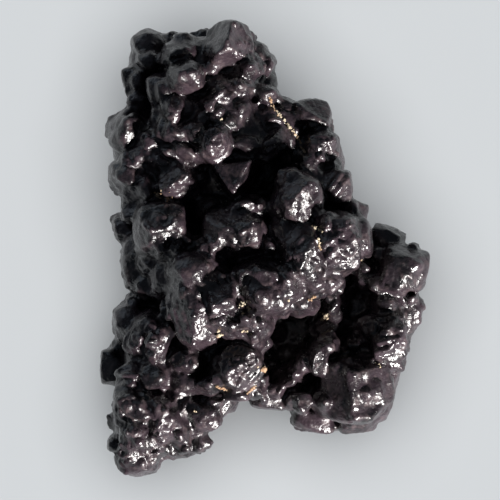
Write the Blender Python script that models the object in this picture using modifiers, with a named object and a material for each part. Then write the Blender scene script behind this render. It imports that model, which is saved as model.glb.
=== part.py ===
"""A carbonado nodule: one knobbly black mass of diamond, lying on its back.

Blender units are metres. The resting plane is Z = 0 and the face that shows most points up.
+Y runs from the two legs to the crown. Every row below is in millimetres.
"""

import math
import random

import bmesh
import bpy
import numpy as np
from mathutils import Euler, Matrix, Vector, noise

MM = 0.001
SEED = 23

# How fine the mass is: the cell that fuses the lumps, and the triangles that are left.
FUSE_CELL = 0.42
SMOOTH_PASSES = 1
TRIANGLES = 9500

# The skin keeps more of its triangles above this height, where it shows.
FINE_ABOVE = 13.0
FINE_WEIGHT = 0.5

# How much wider every lump is than its row, so that neighbours meet.
SPREAD = 1.04

# The inner mass that the lumps grow on: x, y of the middle, then wide, high, low end and top end.
CORE = [
    (-8.0, 24.8, 14.0, 12.5, 5.0, 26.6),
    (-15.8, 26.0, 7.5, 9.5, 6.0, 21.0),
    (-1.8, 26.5, 7.0, 8.0, 7.0, 23.5),
    (-8.0, 18.5, 12.0, 10.0, 4.0, 28.0),
    (-1.0, 17.5, 9.5, 10.0, 5.0, 25.6),
    (-11.0, 14.0, 9.0, 8.0, 4.0, 27.4),
    (-17.8, 15.0, 8.0, 10.0, 6.0, 23.5),
    (-16.8, 9.5, 8.5, 8.5, 5.0, 26.0),
    (-11.8, 9.5, 8.0, 7.0, 5.0, 28.0),
    (-5.0, 10.5, 9.0, 7.0, 6.0, 26.0),
    (6.5, 17.0, 8.5, 9.0, 6.0, 22.0),
    (8.5, 12.0, 7.5, 9.5, 6.0, 22.0),
    (-1.0, 11.0, 16.0, 14.0, 4.0, 17.0),
    (-14.6, 3.0, 8.4, 10.0, 4.0, 29.0),
    (-17.2, -1.5, 7.0, 11.0, 5.0, 21.5),
    (-12.5, -3.5, 8.0, 8.0, 4.0, 27.0),
    (-4.2, 2.6, 10.0, 9.0, 3.5, 31.5),
    (-6.6, 6.0, 8.0, 5.0, 5.0, 26.5),
    (5.2, 6.6, 8.0, 9.0, 4.0, 32.5),
    (10.2, 6.6, 6.5, 7.5, 5.0, 22.0),
    (10.4, 1.0, 9.0, 10.5, 4.0, 31.5),
    (3.0, 0.5, 9.0, 8.0, 4.0, 30.5),
    (-8.6, -5.0, 10.5, 11.0, 4.0, 31.5),
    (0.6, -4.6, 11.0, 8.5, 4.0, 33.0),
    (6.4, -3.8, 8.0, 6.5, 4.0, 30.0),
    (-8.6, -10.6, 7.5, 8.0, 4.0, 30.5),
    (-2.2, -10.6, 7.5, 7.0, 4.0, 30.5),
    (-3.4, -16.8, 8.0, 8.5, 4.0, 27.5),
    (19.3, -2.6, 8.4, 8.0, 5.0, 22.0),
    (19.0, -9.0, 8.0, 9.0, 5.0, 21.0),
    (17.2, -14.0, 7.5, 9.0, 5.0, 22.0),
    (13.4, -8.0, 9.0, 12.0, 4.5, 17.0),
    (13.5, -14.5, 8.5, 9.0, 4.5, 17.5),
    (13.6, -20.0, 12.5, 12.5, 4.5, 19.0),
    (8.6, -15.4, 5.5, 7.5, 4.5, 20.0),
    (4.6, -19.6, 9.0, 8.0, 5.0, 19.0),
    (5.0, -12.5, 14.0, 16.0, 4.5, 12.0),
    (-17.6, -10.4, 7.5, 9.0, 5.5, 18.5),
    (-19.8, -17.0, 6.5, 7.0, 6.0, 14.5),
    (-14.6, -13.0, 8.0, 9.0, 5.0, 23.5),
    (-16.6, -18.0, 7.5, 8.0, 5.0, 22.0),
    (-16.2, -23.6, 9.0, 9.0, 5.5, 22.5),
    (-11.0, -18.5, 9.0, 9.0, 5.0, 22.5),
    (-10.6, -24.0, 8.0, 8.0, 6.0, 21.5),
    (-6.6, -20.6, 8.0, 7.0, 6.0, 21.5),
    (-17.4, -29.0, 6.6, 6.6, 7.5, 19.0),
    (-11.8, -27.6, 6.5, 5.5, 7.0, 19.0),
]
CORE_SQUARE = 2.5
CORE_DROP = 0.7
CORE_LOWER = 2.0

# How far inside the outline the core keeps, so that lumps make the edge, and how the sides draw in
# towards the floor: the height where that starts, and how far they have drawn in at the floor.
CORE_INSET = 2.4
UNDERCUT_FROM = 14.0
UNDERCUT = 4.5

# Lumps: x, y of the middle, top above the floor, wide, high, deep, turn in degrees, and how square
# the lump is (2 is a ball, 4 and more is a block).
CROWN = [
    (-2.4, 29.6, 24.0, 4.2, 5.0, 9.0, -25, 2.6),
    (-3.2, 26.3, 28.5, 4.8, 4.2, 8.0, 15, 2.4),
    (0.6, 26.4, 22.5, 3.2, 4.2, 7.0, 0, 2.3),
    (0.6, 24.3, 20.5, 2.9, 3.0, 7.0, 0, 2.3),
    (-10.8, 29.0, 25.0, 4.4, 3.8, 7.0, 0, 2.2),
    (-11.4, 27.4, 28.0, 4.6, 3.2, 6.0, 0, 2.4),
    (-13.6, 22.9, 28.5, 3.2, 3.8, 7.0, 10, 2.2),
    (-4.8, 22.8, 29.5, 6.2, 4.6, 9.0, 12, 2.6),
    (-7.2, 26.6, 25.5, 4.4, 3.4, 7.0, -20, 2.2),
    (-16.0, 29.0, 22.0, 5.4, 4.8, 8.0, 20, 2.4),
    (-15.9, 26.8, 24.0, 4.2, 3.8, 7.0, 0, 2.4),
    (-17.2, 24.2, 21.5, 5.4, 5.2, 9.0, 15, 2.4),
    (-17.2, 21.2, 22.5, 4.2, 3.4, 7.0, 0, 2.2),
    (-12.6, 30.0, 17.5, 5.0, 3.4, 7.0, 0, 2.2),
    (-8.6, 29.8, 18.5, 4.6, 3.8, 7.0, 0, 2.2),
]

NECK = [
    (-12.3, 20.6, 29.0, 3.0, 2.0, 5.0, 12, 2.2),
    (-12.3, 18.7, 29.5, 3.2, 2.4, 5.0, 15, 2.2),
    (-11.8, 16.3, 30.0, 4.8, 2.6, 6.0, -8, 2.6),
    (-7.2, 19.9, 29.5, 3.0, 2.8, 6.0, 0, 2.2),
    (-5.6, 18.3, 29.0, 3.4, 2.2, 5.0, -15, 2.2),
    (-2.6, 19.2, 28.0, 3.8, 3.2, 6.0, 0, 2.3),
    (-7.1, 15.3, 32.5, 5.0, 4.8, 8.0, 0, 2.3),
    (-9.2, 16.8, 30.5, 2.8, 2.6, 5.0, 30, 2.8),
    (-1.1, 17.6, 27.0, 2.6, 2.9, 5.0, 0, 2.4),
    (-2.4, 14.5, 29.0, 5.0, 3.4, 7.0, -10, 2.3),
    (1.7, 15.3, 28.5, 4.8, 3.0, 7.0, 32, 2.4),
    (-11.0, 13.4, 29.0, 4.8, 2.6, 6.0, -28, 2.4),
    (-8.6, 10.1, 26.5, 2.2, 2.2, 5.0, 20, 2.2),
    (0.6, 21.6, 26.5, 4.2, 3.6, 7.0, -15, 2.3),
    (1.8, 18.9, 26.5, 4.2, 2.8, 6.0, -35, 2.4),
]

LEFT_FLANK = [
    (-18.7, 17.0, 26.5, 4.8, 6.0, 9.0, -25, 2.4),
    (-20.7, 17.8, 20.5, 3.8, 4.6, 7.0, -35, 2.4),
    (-16.9, 14.2, 27.0, 4.4, 3.8, 7.0, 20, 2.3),
    (-14.5, 12.6, 27.5, 4.2, 3.4, 6.0, -10, 2.3),
    (-18.6, 10.6, 27.5, 4.8, 4.2, 8.0, 10, 2.5),
    (-20.6, 11.2, 22.0, 2.6, 4.0, 7.0, 0, 2.3),
    (-20.2, 8.7, 21.5, 2.6, 2.4, 6.0, 0, 2.2),
    (-16.8, 8.4, 28.0, 4.0, 3.6, 6.0, 25, 2.4),
    (-12.2, 9.8, 30.0, 6.0, 5.2, 8.0, 35, 2.8),
    (-14.2, 0.6, 30.0, 4.4, 2.4, 6.0, 0, 2.3),
    (-11.3, 1.0, 30.0, 3.2, 2.8, 6.0, 0, 2.3),
    (-18.4, 5.4, 25.0, 3.6, 3.8, 7.0, 0, 3.0),
    (-19.4, 3.2, 18.5, 4.0, 5.6, 8.0, 20, 2.6),
    (-17.8, -0.3, 21.0, 3.0, 5.2, 8.0, 5, 2.4),
    (-14.7, -1.6, 26.5, 5.0, 3.6, 7.0, -15, 2.6),
    (-16.2, -4.8, 22.0, 5.0, 5.8, 9.0, 0, 2.4),
]

RIGHT_SHOULDER = [
    (3.1, 20.5, 23.5, 4.4, 3.4, 7.0, -10, 2.4),
    (10.5, 12.7, 20.5, 2.4, 3.6, 7.0, 0, 2.4),
    (6.2, 12.4, 26.0, 3.0, 2.8, 6.0, 0, 2.2),
    (4.2, 14.2, 24.0, 3.4, 4.0, 6.0, -30, 2.3),
    (10.3, 8.9, 23.5, 4.6, 3.8, 8.0, 30, 3.0),
    (12.2, 6.2, 20.5, 4.0, 3.2, 7.0, 0, 2.4),
]

MIDDLE = [
    (5.9, 7.1, 35.0, 5.8, 6.4, 10.0, 10, 2.3),
    (4.2, 9.1, 32.5, 3.2, 2.8, 6.0, 0, 2.2),
    (2.8, 6.2, 32.0, 3.4, 3.8, 7.0, 0, 2.3),
    (14.1, 2.0, 28.0, 3.2, 6.2, 10.0, 14, 3.0),
    (5.9, -0.4, 34.5, 4.6, 6.0, 9.0, 8, 2.6),
    (0.8, 0.4, 31.5, 2.2, 2.6, 6.0, 0, 2.2),
    (2.8, 2.1, 31.5, 2.6, 4.6, 7.0, 12, 2.3),
    (-2.3, 2.2, 34.0, 5.0, 4.4, 8.0, 18, 2.4),
    (-2.6, 5.6, 32.0, 5.8, 3.4, 8.0, 8, 2.6),
    (-9.4, -2.9, 33.5, 6.0, 6.2, 9.0, -5, 2.8),
    (-10.9, -7.4, 32.0, 3.6, 4.8, 8.0, 10, 2.4),
    (1.4, -5.9, 36.0, 5.6, 5.6, 9.0, 0, 2.3),
    (-1.7, -3.6, 34.5, 4.4, 3.6, 7.0, 35, 2.6),
    (3.0, -3.4, 34.5, 3.2, 3.6, 7.0, 15, 2.3),
    (6.9, -5.0, 31.5, 4.8, 3.6, 7.0, 20, 2.6),
    (5.8, -7.4, 28.5, 3.6, 2.6, 6.0, 10, 2.3),
    (-2.3, -9.6, 33.5, 2.6, 2.6, 6.0, 0, 2.1),
    (-0.2, -10.9, 31.5, 2.2, 3.4, 6.0, 0, 2.2),
    (-4.2, -10.7, 33.0, 2.6, 2.4, 6.0, 0, 2.1),
    (-1.2, -12.6, 30.0, 2.2, 2.6, 6.0, 25, 2.2),
    (-3.0, -16.4, 31.0, 6.2, 6.6, 9.0, 15, 2.5),
    (-6.7, -18.6, 27.5, 3.4, 2.8, 6.0, 25, 2.3),
    (-3.4, -20.4, 27.0, 4.2, 2.4, 6.0, 0, 2.3),
]

RIGHT_LOBE = [
    (19.8, -2.7, 25.0, 7.4, 6.8, 10.0, 12, 2.3),
    (18.4, -5.0, 25.0, 4.4, 2.6, 6.0, -8, 2.3),
    (18.0, 1.8, 20.0, 5.0, 3.6, 8.0, -15, 2.4),
    (21.2, -8.5, 20.0, 3.6, 5.2, 8.0, 5, 2.4),
    (17.9, -8.1, 24.0, 4.8, 3.6, 8.0, -10, 2.4),
    (15.5, -10.7, 26.0, 2.6, 2.6, 6.0, 0, 2.2),
    (18.4, -10.4, 25.5, 2.4, 2.4, 6.0, 0, 2.2),
    (20.2, -13.3, 19.0, 2.0, 4.2, 8.0, -5, 2.6),
    (14.8, -4.2, 22.0, 2.6, 2.0, 5.0, 0, 2.2),
    (14.4, -2.5, 23.0, 2.0, 1.6, 5.0, 0, 2.2),
    (10.6, -7.8, 21.5, 2.4, 4.4, 7.0, -15, 2.3),
    (8.6, -11.4, 19.0, 3.2, 2.4, 5.0, 10, 2.2),
    (12.3, -11.2, 18.0, 3.8, 3.6, 6.0, 0, 2.4),
    (14.2, -13.1, 21.5, 2.6, 2.4, 5.0, 25, 2.3),
    (15.3, -15.4, 23.0, 2.2, 2.2, 5.0, 0, 2.2),
    (11.8, -14.4, 20.5, 3.8, 2.6, 6.0, 0, 2.3),
    (8.1, -15.1, 26.5, 3.2, 4.8, 9.0, -5, 2.3),
    (2.8, -19.3, 22.0, 3.6, 2.2, 5.0, 30, 2.3),
    (5.3, -17.4, 23.0, 3.6, 2.2, 6.0, 38, 2.3),
    (0.9, -21.6, 19.5, 5.4, 2.8, 7.0, -12, 2.4),
    (4.8, -21.2, 22.0, 2.6, 4.4, 8.0, -15, 2.3),
    (9.0, -22.0, 24.0, 2.8, 3.2, 7.0, 0, 2.3),
    (18.6, -18.2, 18.5, 2.8, 6.0, 8.0, -12, 2.6),
    (7.6, -24.3, 18.0, 6.0, 3.6, 8.0, -12, 2.6),
    (13.2, -24.6, 19.0, 6.4, 3.6, 8.0, 8, 2.6),
]

LEFT_LEG = [
    (-21.2, -16.8, 15.0, 4.8, 5.6, 8.0, 0, 2.2),
    (-14.0, -12.6, 25.5, 2.6, 4.4, 6.0, -20, 2.4),
    (-18.6, -18.0, 24.0, 3.4, 3.0, 7.0, 10, 2.3),
    (-15.5, -17.8, 24.5, 3.4, 3.8, 7.0, 0, 2.3),
    (-10.6, -16.0, 24.5, 4.6, 2.8, 7.0, 20, 2.3),
    (-10.8, -18.6, 23.0, 4.2, 3.0, 6.0, 0, 2.4),
    (-18.3, -22.0, 25.0, 4.4, 4.2, 8.0, 0, 2.4),
    (-14.2, -22.6, 26.0, 4.6, 4.4, 8.0, 30, 2.6),
    (-12.9, -24.6, 25.5, 3.6, 2.8, 6.0, 35, 2.6),
    (-20.5, -24.0, 18.5, 2.2, 5.4, 8.0, 0, 2.3),
    (-18.2, -26.2, 24.0, 3.8, 3.6, 7.0, 0, 2.3),
    (-14.9, -27.0, 22.0, 2.6, 2.4, 6.0, 0, 2.2),
    (-17.9, -30.0, 21.0, 6.6, 5.0, 9.0, 0, 2.4),
    (-21.0, -27.8, 16.0, 2.4, 2.6, 6.0, 0, 2.2),
    (-11.5, -26.9, 23.0, 3.8, 3.6, 7.0, -20, 2.4),
    (-9.1, -27.5, 20.0, 2.8, 3.4, 7.0, 0, 2.2),
    (-13.0, -28.8, 17.0, 3.4, 2.8, 7.0, 0, 2.2),
    (-8.1, -23.5, 24.0, 4.2, 4.8, 8.0, 10, 2.4),
    (-5.7, -22.1, 21.5, 3.2, 3.2, 7.0, 25, 2.4),
    (-11.1, -21.7, 23.5, 2.8, 4.2, 7.0, 0, 2.4),
]

# Blocks with flats that show: x, y of the middle, top, wide, high, deep, how square, then the flats as
# compass (0 is +X, 90 is +Y), how steeply they look up, and how far out they lie against the block's size.
BLOCKS = [
    (-3.7, 10.2, 31.0, 7.4, 7.0, 9.0, 3.0, [(90, 10, 0.5), (215, 8, 0.42), (325, 8, 0.42), (270, 70, 0.72)]),
    (-6.0, -7.6, 35.5, 6.0, 7.2, 10.0, 3.0, [(75, 62, 0.66), (280, 48, 0.60), (180, 25, 0.66), (350, 20, 0.66)]),
    (14.0, -19.9, 26.0, 10.6, 10.0, 13.0, 2.8, [(188, 52, 0.60), (345, 60, 0.58), (85, 40, 0.68), (268, 30, 0.72)]),
    (10.9, 0.9, 34.5, 7.6, 8.8, 11.0, 3.6, [(300, 66, 0.74), (120, 60, 0.80), (20, 30, 0.76)]),
    (-14.2, 3.2, 31.5, 7.8, 6.8, 10.0, 3.6, [(100, 62, 0.74), (285, 55, 0.72), (200, 40, 0.80)]),
    (-4.2, 2.8, 34.0, 8.4, 7.0, 10.0, 3.2, [(110, 55, 0.70), (280, 60, 0.76), (190, 50, 0.74)]),
    (8.6, 14.6, 26.5, 5.8, 5.8, 9.0, 3.2, [(40, 66, 0.66), (250, 50, 0.72), (330, 30, 0.74)]),
    (7.0, 18.6, 24.0, 6.0, 5.4, 9.0, 3.2, [(60, 60, 0.64), (260, 45, 0.74)]),
    (-18.0, -11.0, 20.0, 7.6, 8.4, 10.0, 2.4, [(30, 60, 0.74)]),
    (-15.4, -12.6, 26.5, 4.8, 7.4, 9.0, 3.2, [(20, 60, 0.66), (200, 40, 0.7)]),
    (-5.0, 28.9, 30.0, 7.4, 7.4, 11.0, 2.6, [(15, 50, 0.66), (170, 35, 0.66), (100, 40, 0.66), (290, 50, 0.72)]),
    (-10.7, 24.4, 33.0, 6.2, 5.4, 10.0, 3.2, [(270, 60, 0.70), (100, 40, 0.72), (180, 35, 0.74)]),
    (17.9, -13.0, 26.5, 5.2, 7.4, 10.0, 3.2, [(10, 55, 0.66), (270, 50, 0.74), (150, 50, 0.7)]),
]

# The outline seen from above, clockwise from the crown's left corner. Nothing grows past it.
OUTLINE = [
    (-18.6, 29.5), (-16.5, 31.5), (-13.6, 31.4), (-7.7, 31.2), (-5.0, 32.5), (-2.9, 32.4), (-0.5, 29.5),
    (1.4, 27.9), (2.1, 26.7), (2.1, 22.1), (5.7, 21.2), (9.2, 19.0), (10.7, 14.0), (11.4, 10.7),
    (12.3, 10.5), (12.3, 7.1), (14.0, 5.2), (15.9, 2.9), (19.2, 3.1), (21.9, 0.7), (23.6, -3.3),
    (22.5, -7.0), (22.8, -10.2), (20.9, -11.2), (20.7, -15.2), (19.7, -17.5), (17.8, -23.3),
    (16.4, -25.7), (13.3, -26.4), (8.3, -26.3), (5.7, -25.5), (3.8, -22.6), (0.2, -22.9), (-4.1, -21.4),
    (-5.5, -23.3), (-7.7, -26.7), (-9.3, -29.5), (-13.6, -30.0), (-17.0, -32.8), (-20.3, -30.5),
    (-22.2, -28.1), (-21.2, -23.3), (-21.2, -19.8), (-23.5, -16.7), (-21.0, -13.8), (-21.5, -9.0),
    (-18.4, -6.2), (-18.6, -1.4), (-21.0, 2.9), (-20.3, 7.6), (-21.7, 10.7), (-21.0, 14.8),
    (-22.4, 16.4), (-19.1, 20.5), (-19.7, 23.8),
]

REGIONS = (CROWN, NECK, LEFT_FLANK, RIGHT_SHOULDER, MIDDLE, RIGHT_LOBE, LEFT_LEG)

# The side that the nodule lies on: lumps that reach the floor, as x, y, wide, high and deep.
FEET = [
    (-9.5, 22.0, 8.5, 7.5, 9.0),
    (-14.5, 10.5, 7.5, 7.5, 9.0),
    (3.0, 14.0, 7.0, 6.5, 9.0),
    (-5.0, 2.5, 10.0, 8.5, 9.0),
    (10.0, 2.5, 7.5, 7.5, 9.0),
    (-14.5, -9.0, 7.5, 7.5, 9.0),
    (14.0, -12.0, 8.0, 8.5, 9.0),
    (-10.0, -19.5, 7.5, 7.0, 9.0),
]
FOOT_BELOW_FLOOR = 0.7
FOOT_SQUARE = 2.6

# Lumps of the sides and the back, spread over the core by a seeded walk: how far apart, how big, how
# much narrower they get the other ways, and how deep they sink in. Above HIDDEN_TOP they stay under a
# lump that shows, at least HIDDEN_COVER below its top.
HIDDEN_SPACING = 3.9
HIDDEN_SIZES = (4.6, 7.6)
HIDDEN_NARROWER = (0.75, 1.0)
HIDDEN_SQUARE = 2.3
HIDDEN_SINK = 0.12
HIDDEN_TOP = 15.0
HIDDEN_COVER = 5.0
HIDDEN_TRIES = 6000

# The worn flats of a lump: how many, how far out they lie against its size, the ripple between them,
# how coarse that ripple is, and how far the lump leans.
FLATS = 9
FLAT_REACH = (0.74, 0.92)
RIPPLE = 0.10
RIPPLE_COARSE = 1.6
RIPPLE_SPREAD = 40
LEAN = 14

ROCK = {"name": "carbonado_rock", "color": (0.018, 0.012, 0.013, 1.0), "roughness": 0.28, "metallic": 0.0}


def clear_scene():
    for leftover in list(bpy.data.objects):
        bpy.data.objects.remove(leftover)


def collection_named(name):
    made = bpy.data.collections.new(name)
    bpy.context.scene.collection.children.link(made)
    return made


def black_glaze():
    material = bpy.data.materials.new(ROCK["name"])
    material.use_nodes = True
    shader = material.node_tree.nodes["Principled BSDF"]
    shader.inputs["Base Color"].default_value = ROCK["color"]
    shader.inputs["Roughness"].default_value = ROCK["roughness"]
    shader.inputs["Metallic"].default_value = ROCK["metallic"]
    return material


def random_direction(dice):
    up = dice.uniform(-1, 1)
    around = dice.uniform(0, 2 * math.pi)
    out = math.sqrt(1 - up * up)
    return np.array((out * math.cos(around), out * math.sin(around), up))


def ball_mesh():
    ball = bmesh.new()
    bmesh.ops.create_icosphere(ball, subdivisions=3, radius=1.0)
    mesh = bpy.data.meshes.new("ball")
    ball.to_mesh(mesh)
    ball.free()
    return mesh


def points_of(mesh):
    points = np.empty(len(mesh.vertices) * 3)
    mesh.vertices.foreach_get("co", points)
    return points.reshape(-1, 3)


def add_shape(mass, mesh, points):
    """One more shape in the mass: the mesh with its points moved, in millimetres."""
    copy = mesh.copy()
    copy.vertices.foreach_set("co", (points * MM).ravel())
    mass.from_mesh(copy)
    bpy.data.meshes.remove(copy)


def squared(points, square):
    """A ball made squarer. A square of 2 leaves it round."""
    return points / (np.abs(points) ** square).sum(axis=1)[:, None] ** (1 / square)


def placed(points, middle, size, turn, tilt=(0.0, 0.0)):
    """Points of a shape 2 across, stretched to size, turned and moved to their place."""
    rotation = Euler((math.radians(tilt[0]), math.radians(tilt[1]), math.radians(turn)))
    spun = (points * np.array(size) / 2) @ np.array(rotation.to_matrix()).T
    return spun + np.array(middle)


def cut(points, toward, reach):
    """The points past a plane moved back to it."""
    over = np.clip(points @ toward - reach, 0, None)
    return points - over[:, None] * toward


def filled(points):
    """A shape stretched to be 2 across every way."""
    low, top = points.min(axis=0), points.max(axis=0)
    return 2 * (points - low) / (top - low) - 1


def block(points, square, flats, dice):
    """A squared ball with chosen flats."""
    points = rippled(squared(points, square), dice)
    for compass, up, reach in flats:
        around, rise = math.radians(compass), math.radians(up)
        flat = math.cos(rise)
        toward = np.array((flat * math.cos(around), flat * math.sin(around), math.sin(rise)))
        points = cut(points, toward, (points @ toward).max() * reach)
    return filled(points)


def rippled(points, dice):
    elsewhere = Vector(random_direction(dice)) * RIPPLE_SPREAD
    ripple = np.array([noise.noise(Vector(point) * RIPPLE_COARSE + elsewhere) for point in points])
    return points * (1 + RIPPLE * ripple[:, None])


def pebble(points, square, dice):
    """A pebble with worn flats: a ball made squarer, rippled a little and cut by a few planes."""
    points = rippled(squared(points, square), dice)
    for _ in range(FLATS):
        toward = random_direction(dice)
        points = cut(points, toward, (points @ toward).max() * dice.uniform(*FLAT_REACH))
    return filled(points)


def core_balls():
    """The middle and the half sizes of each ball of the core."""
    balls = []
    for x, y, wide, high, low, top in CORE:
        low, top = low - CORE_LOWER, top - CORE_DROP
        balls.append((np.array((x, y, (low + top) / 2)), np.array((wide, high, top - low)) / 2))
    return balls


def depth_in_core(point):
    """How deep a point lies in the core, as a share of the nearest ball's size. Below 0 is outside."""
    deepest = -9.0
    for middle, half in core_balls():
        reach = (np.abs((point - middle) / half) ** CORE_SQUARE).sum() ** (1 / CORE_SQUARE)
        deepest = max(deepest, 1 - reach)
    return deepest


def kept_inside(points, inset):
    """The points that come nearer to the outline than inset, or leave it, moved in to it."""
    below = np.clip(1 - points[:, 2] / UNDERCUT_FROM, 0, 1)
    inset = inset + UNDERCUT * below**2
    starts = np.array(OUTLINE)
    sides = np.roll(starts, -1, axis=0) - starts
    long = np.linalg.norm(sides, axis=1)
    inward = np.stack((sides[:, 1], -sides[:, 0]), axis=1) / long[:, None]
    flat = points[:, :2]
    for _ in range(2):
        off = flat[:, None, :] - starts[None, :, :]
        along = np.clip((off * sides).sum(axis=2) / long**2, 0, 1)
        gap = np.linalg.norm(off - along[..., None] * sides, axis=2)
        nearest = gap.argmin(axis=1)
        rows = np.arange(len(flat))
        within = (off[rows, nearest] * inward[nearest]).sum(axis=1) > 0
        room = np.where(within, gap[rows, nearest], -gap[rows, nearest])
        short = np.clip(inset - room, 0, None)
        flat = flat + inward[nearest] * short[:, None]
    return np.column_stack((flat, points[:, 2]))


def covered(point, across):
    """Whether a lump that shows hides this place from above."""
    rows = [row for region in REGIONS for row in region]
    for x, y, top, wide, high, deep, _, _ in rows:
        near = math.hypot((point[0] - x) / wide, (point[1] - y) / high) < 0.5
        if near and top - HIDDEN_COVER > point[2] + across / 2:
            return True
    return False


def hidden_lumps(dice):
    """Places for the lumps of the sides and the back, spread over the core where they don't show from above."""
    found = []
    balls = core_balls()
    for _ in range(HIDDEN_TRIES):
        middle, half = dice.choice(balls)
        toward = random_direction(dice)
        across = dice.uniform(*HIDDEN_SIZES)
        surface = middle + squared(toward[None, :], CORE_SQUARE)[0] * half
        if depth_in_core(surface) > 0.03:
            continue
        outward = toward / half
        outward = outward / np.linalg.norm(outward)
        point = surface - outward * across * HIDDEN_SINK
        point = kept_inside(point[None, :], across / 2)[0]
        if any(np.linalg.norm(point - other) < HIDDEN_SPACING for other, _, _ in found):
            continue
        if point[2] > HIDDEN_TOP and not covered(point, across):
            continue
        found.append((point, across, dice.uniform(0, 180)))
    return found


def dice_for(x, y):
    """Dice of its own for each place, so that a changed row leaves the other lumps alone."""
    return random.Random(SEED + 1000 * round(10 * x) + round(10 * y))


def grow_mass():
    """Every lump, block and foot, loose in one mesh."""
    mass = bmesh.new()
    ball = ball_mesh()
    round_points = points_of(ball)
    for middle, half in core_balls():
        core = squared(round_points, CORE_SQUARE) * half + middle
        add_shape(mass, ball, kept_inside(core, CORE_INSET))

    def add_pebble(middle, size, turn, square):
        dice = dice_for(middle[0], middle[1])
        tilt = (dice.uniform(-LEAN, LEAN), dice.uniform(-LEAN, LEAN))
        shape = pebble(round_points, square, dice)
        add_shape(mass, ball, placed(shape, middle, size, turn, tilt))

    for region in REGIONS:
        for x, y, top, wide, high, deep, turn, square in region:
            size = (wide * SPREAD, high * SPREAD, deep)
            add_pebble((x, y, top - deep / 2), size, turn, square)
    for x, y, top, wide, high, deep, square, flats in BLOCKS:
        shape = block(round_points, square, flats, dice_for(x, y))
        add_shape(mass, ball, placed(shape, (x, y, top - deep / 2), (wide, high, deep), 0))
    for x, y, wide, high, deep in FEET:
        add_pebble((x, y, deep / 2 - FOOT_BELOW_FLOOR), (wide, high, deep), 0, FOOT_SQUARE)
    dice = random.Random(SEED)
    for middle, across, turn in hidden_lumps(dice):
        size = (across, across * dice.uniform(*HIDDEN_NARROWER), across * dice.uniform(*HIDDEN_NARROWER))
        add_pebble(middle, size, turn, HIDDEN_SQUARE)
    mesh = bpy.data.meshes.new("lumps")
    mass.to_mesh(mesh)
    mass.free()
    return mesh


def evaluated_mesh(obj):
    graph = bpy.context.evaluated_depsgraph_get()
    return bpy.data.meshes.new_from_object(obj.evaluated_get(graph))


def keep_largest_shell(mesh):
    """Drops any speck that the fusing left loose."""
    work = bmesh.new()
    work.from_mesh(mesh)
    unseen = set(work.verts)
    shells = []
    while unseen:
        shell, front = set(), [unseen.pop()]
        while front:
            vert = front.pop()
            shell.add(vert)
            for edge in vert.link_edges:
                other = edge.other_vert(vert)
                if other in unseen:
                    unseen.remove(other)
                    front.append(other)
        shells.append(shell)
    largest = max(shells, key=len)
    strays = [vert for shell in shells if shell is not largest for vert in shell]
    bmesh.ops.delete(work, geom=strays, context="VERTS")
    work.to_mesh(mesh)
    work.free()


def centre(mesh):
    """Puts the middle of the mesh, seen from above, over the origin."""
    points = points_of(mesh)
    low, top = points.min(axis=0), points.max(axis=0)
    points[:, :2] -= (low + top)[:2] / 2
    mesh.vertices.foreach_set("co", points.ravel())


def fuse(mesh, parts):
    """The lumps made one skin, and that skin thinned to its triangle count."""
    lumps = bpy.data.objects.new("lumps", mesh)
    parts.objects.link(lumps)
    remesh = lumps.modifiers.new("fuse", "REMESH")
    remesh.mode = "VOXEL"
    remesh.voxel_size = FUSE_CELL * MM
    soften = lumps.modifiers.new("soften", "SMOOTH")
    soften.factor = 0.5
    soften.iterations = SMOOTH_PASSES
    skin = evaluated_mesh(lumps)
    bpy.data.objects.remove(lumps)
    keep_largest_shell(skin)
    centre(skin)
    rock = bpy.data.objects.new("carbonado", skin)
    parts.objects.link(rock)
    fine = rock.vertex_groups.new(name="fine")
    for vert in skin.vertices:
        fine.add([vert.index], FINE_WEIGHT if vert.co.z > FINE_ABOVE * MM else 0.0, "REPLACE")
    thin = rock.modifiers.new("thin", "DECIMATE")
    thin.vertex_group = fine.name
    thin.invert_vertex_group = True
    thin.ratio = TRIANGLES / (2 * len(skin.polygons))
    return rock


def floor_cutter(cutters):
    """A slab under the floor, which cuts the feet flat."""
    deep, wide = 20 * MM, 120 * MM
    slab = bmesh.new()
    bmesh.ops.create_cube(slab, size=1.0, matrix=Matrix.Diagonal((wide, wide, deep, 1)))
    bmesh.ops.translate(slab, verts=slab.verts, vec=(0, 0, -deep / 2))
    mesh = bpy.data.meshes.new("floor_cutter")
    slab.to_mesh(mesh)
    slab.free()
    cutter = bpy.data.objects.new("floor_cutter", mesh)
    cutters.objects.link(cutter)
    cutter.hide_render = True
    cutter.display_type = "WIRE"
    return cutter


def main():
    clear_scene()
    parts = collection_named("carbonado_nodule")
    cutters = collection_named("cutters")
    rock = fuse(grow_mass(), parts)
    flat = rock.modifiers.new("flat_feet", "BOOLEAN")
    flat.operation = "DIFFERENCE"
    flat.object = floor_cutter(cutters)
    rock.data.materials.clear()
    rock.data.materials.append(black_glaze())


main()
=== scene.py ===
import math
import random

import bpy
import numpy as np
from mathutils import Euler, Matrix, Vector, noise
from mathutils.bvhtree import BVHTree


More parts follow.
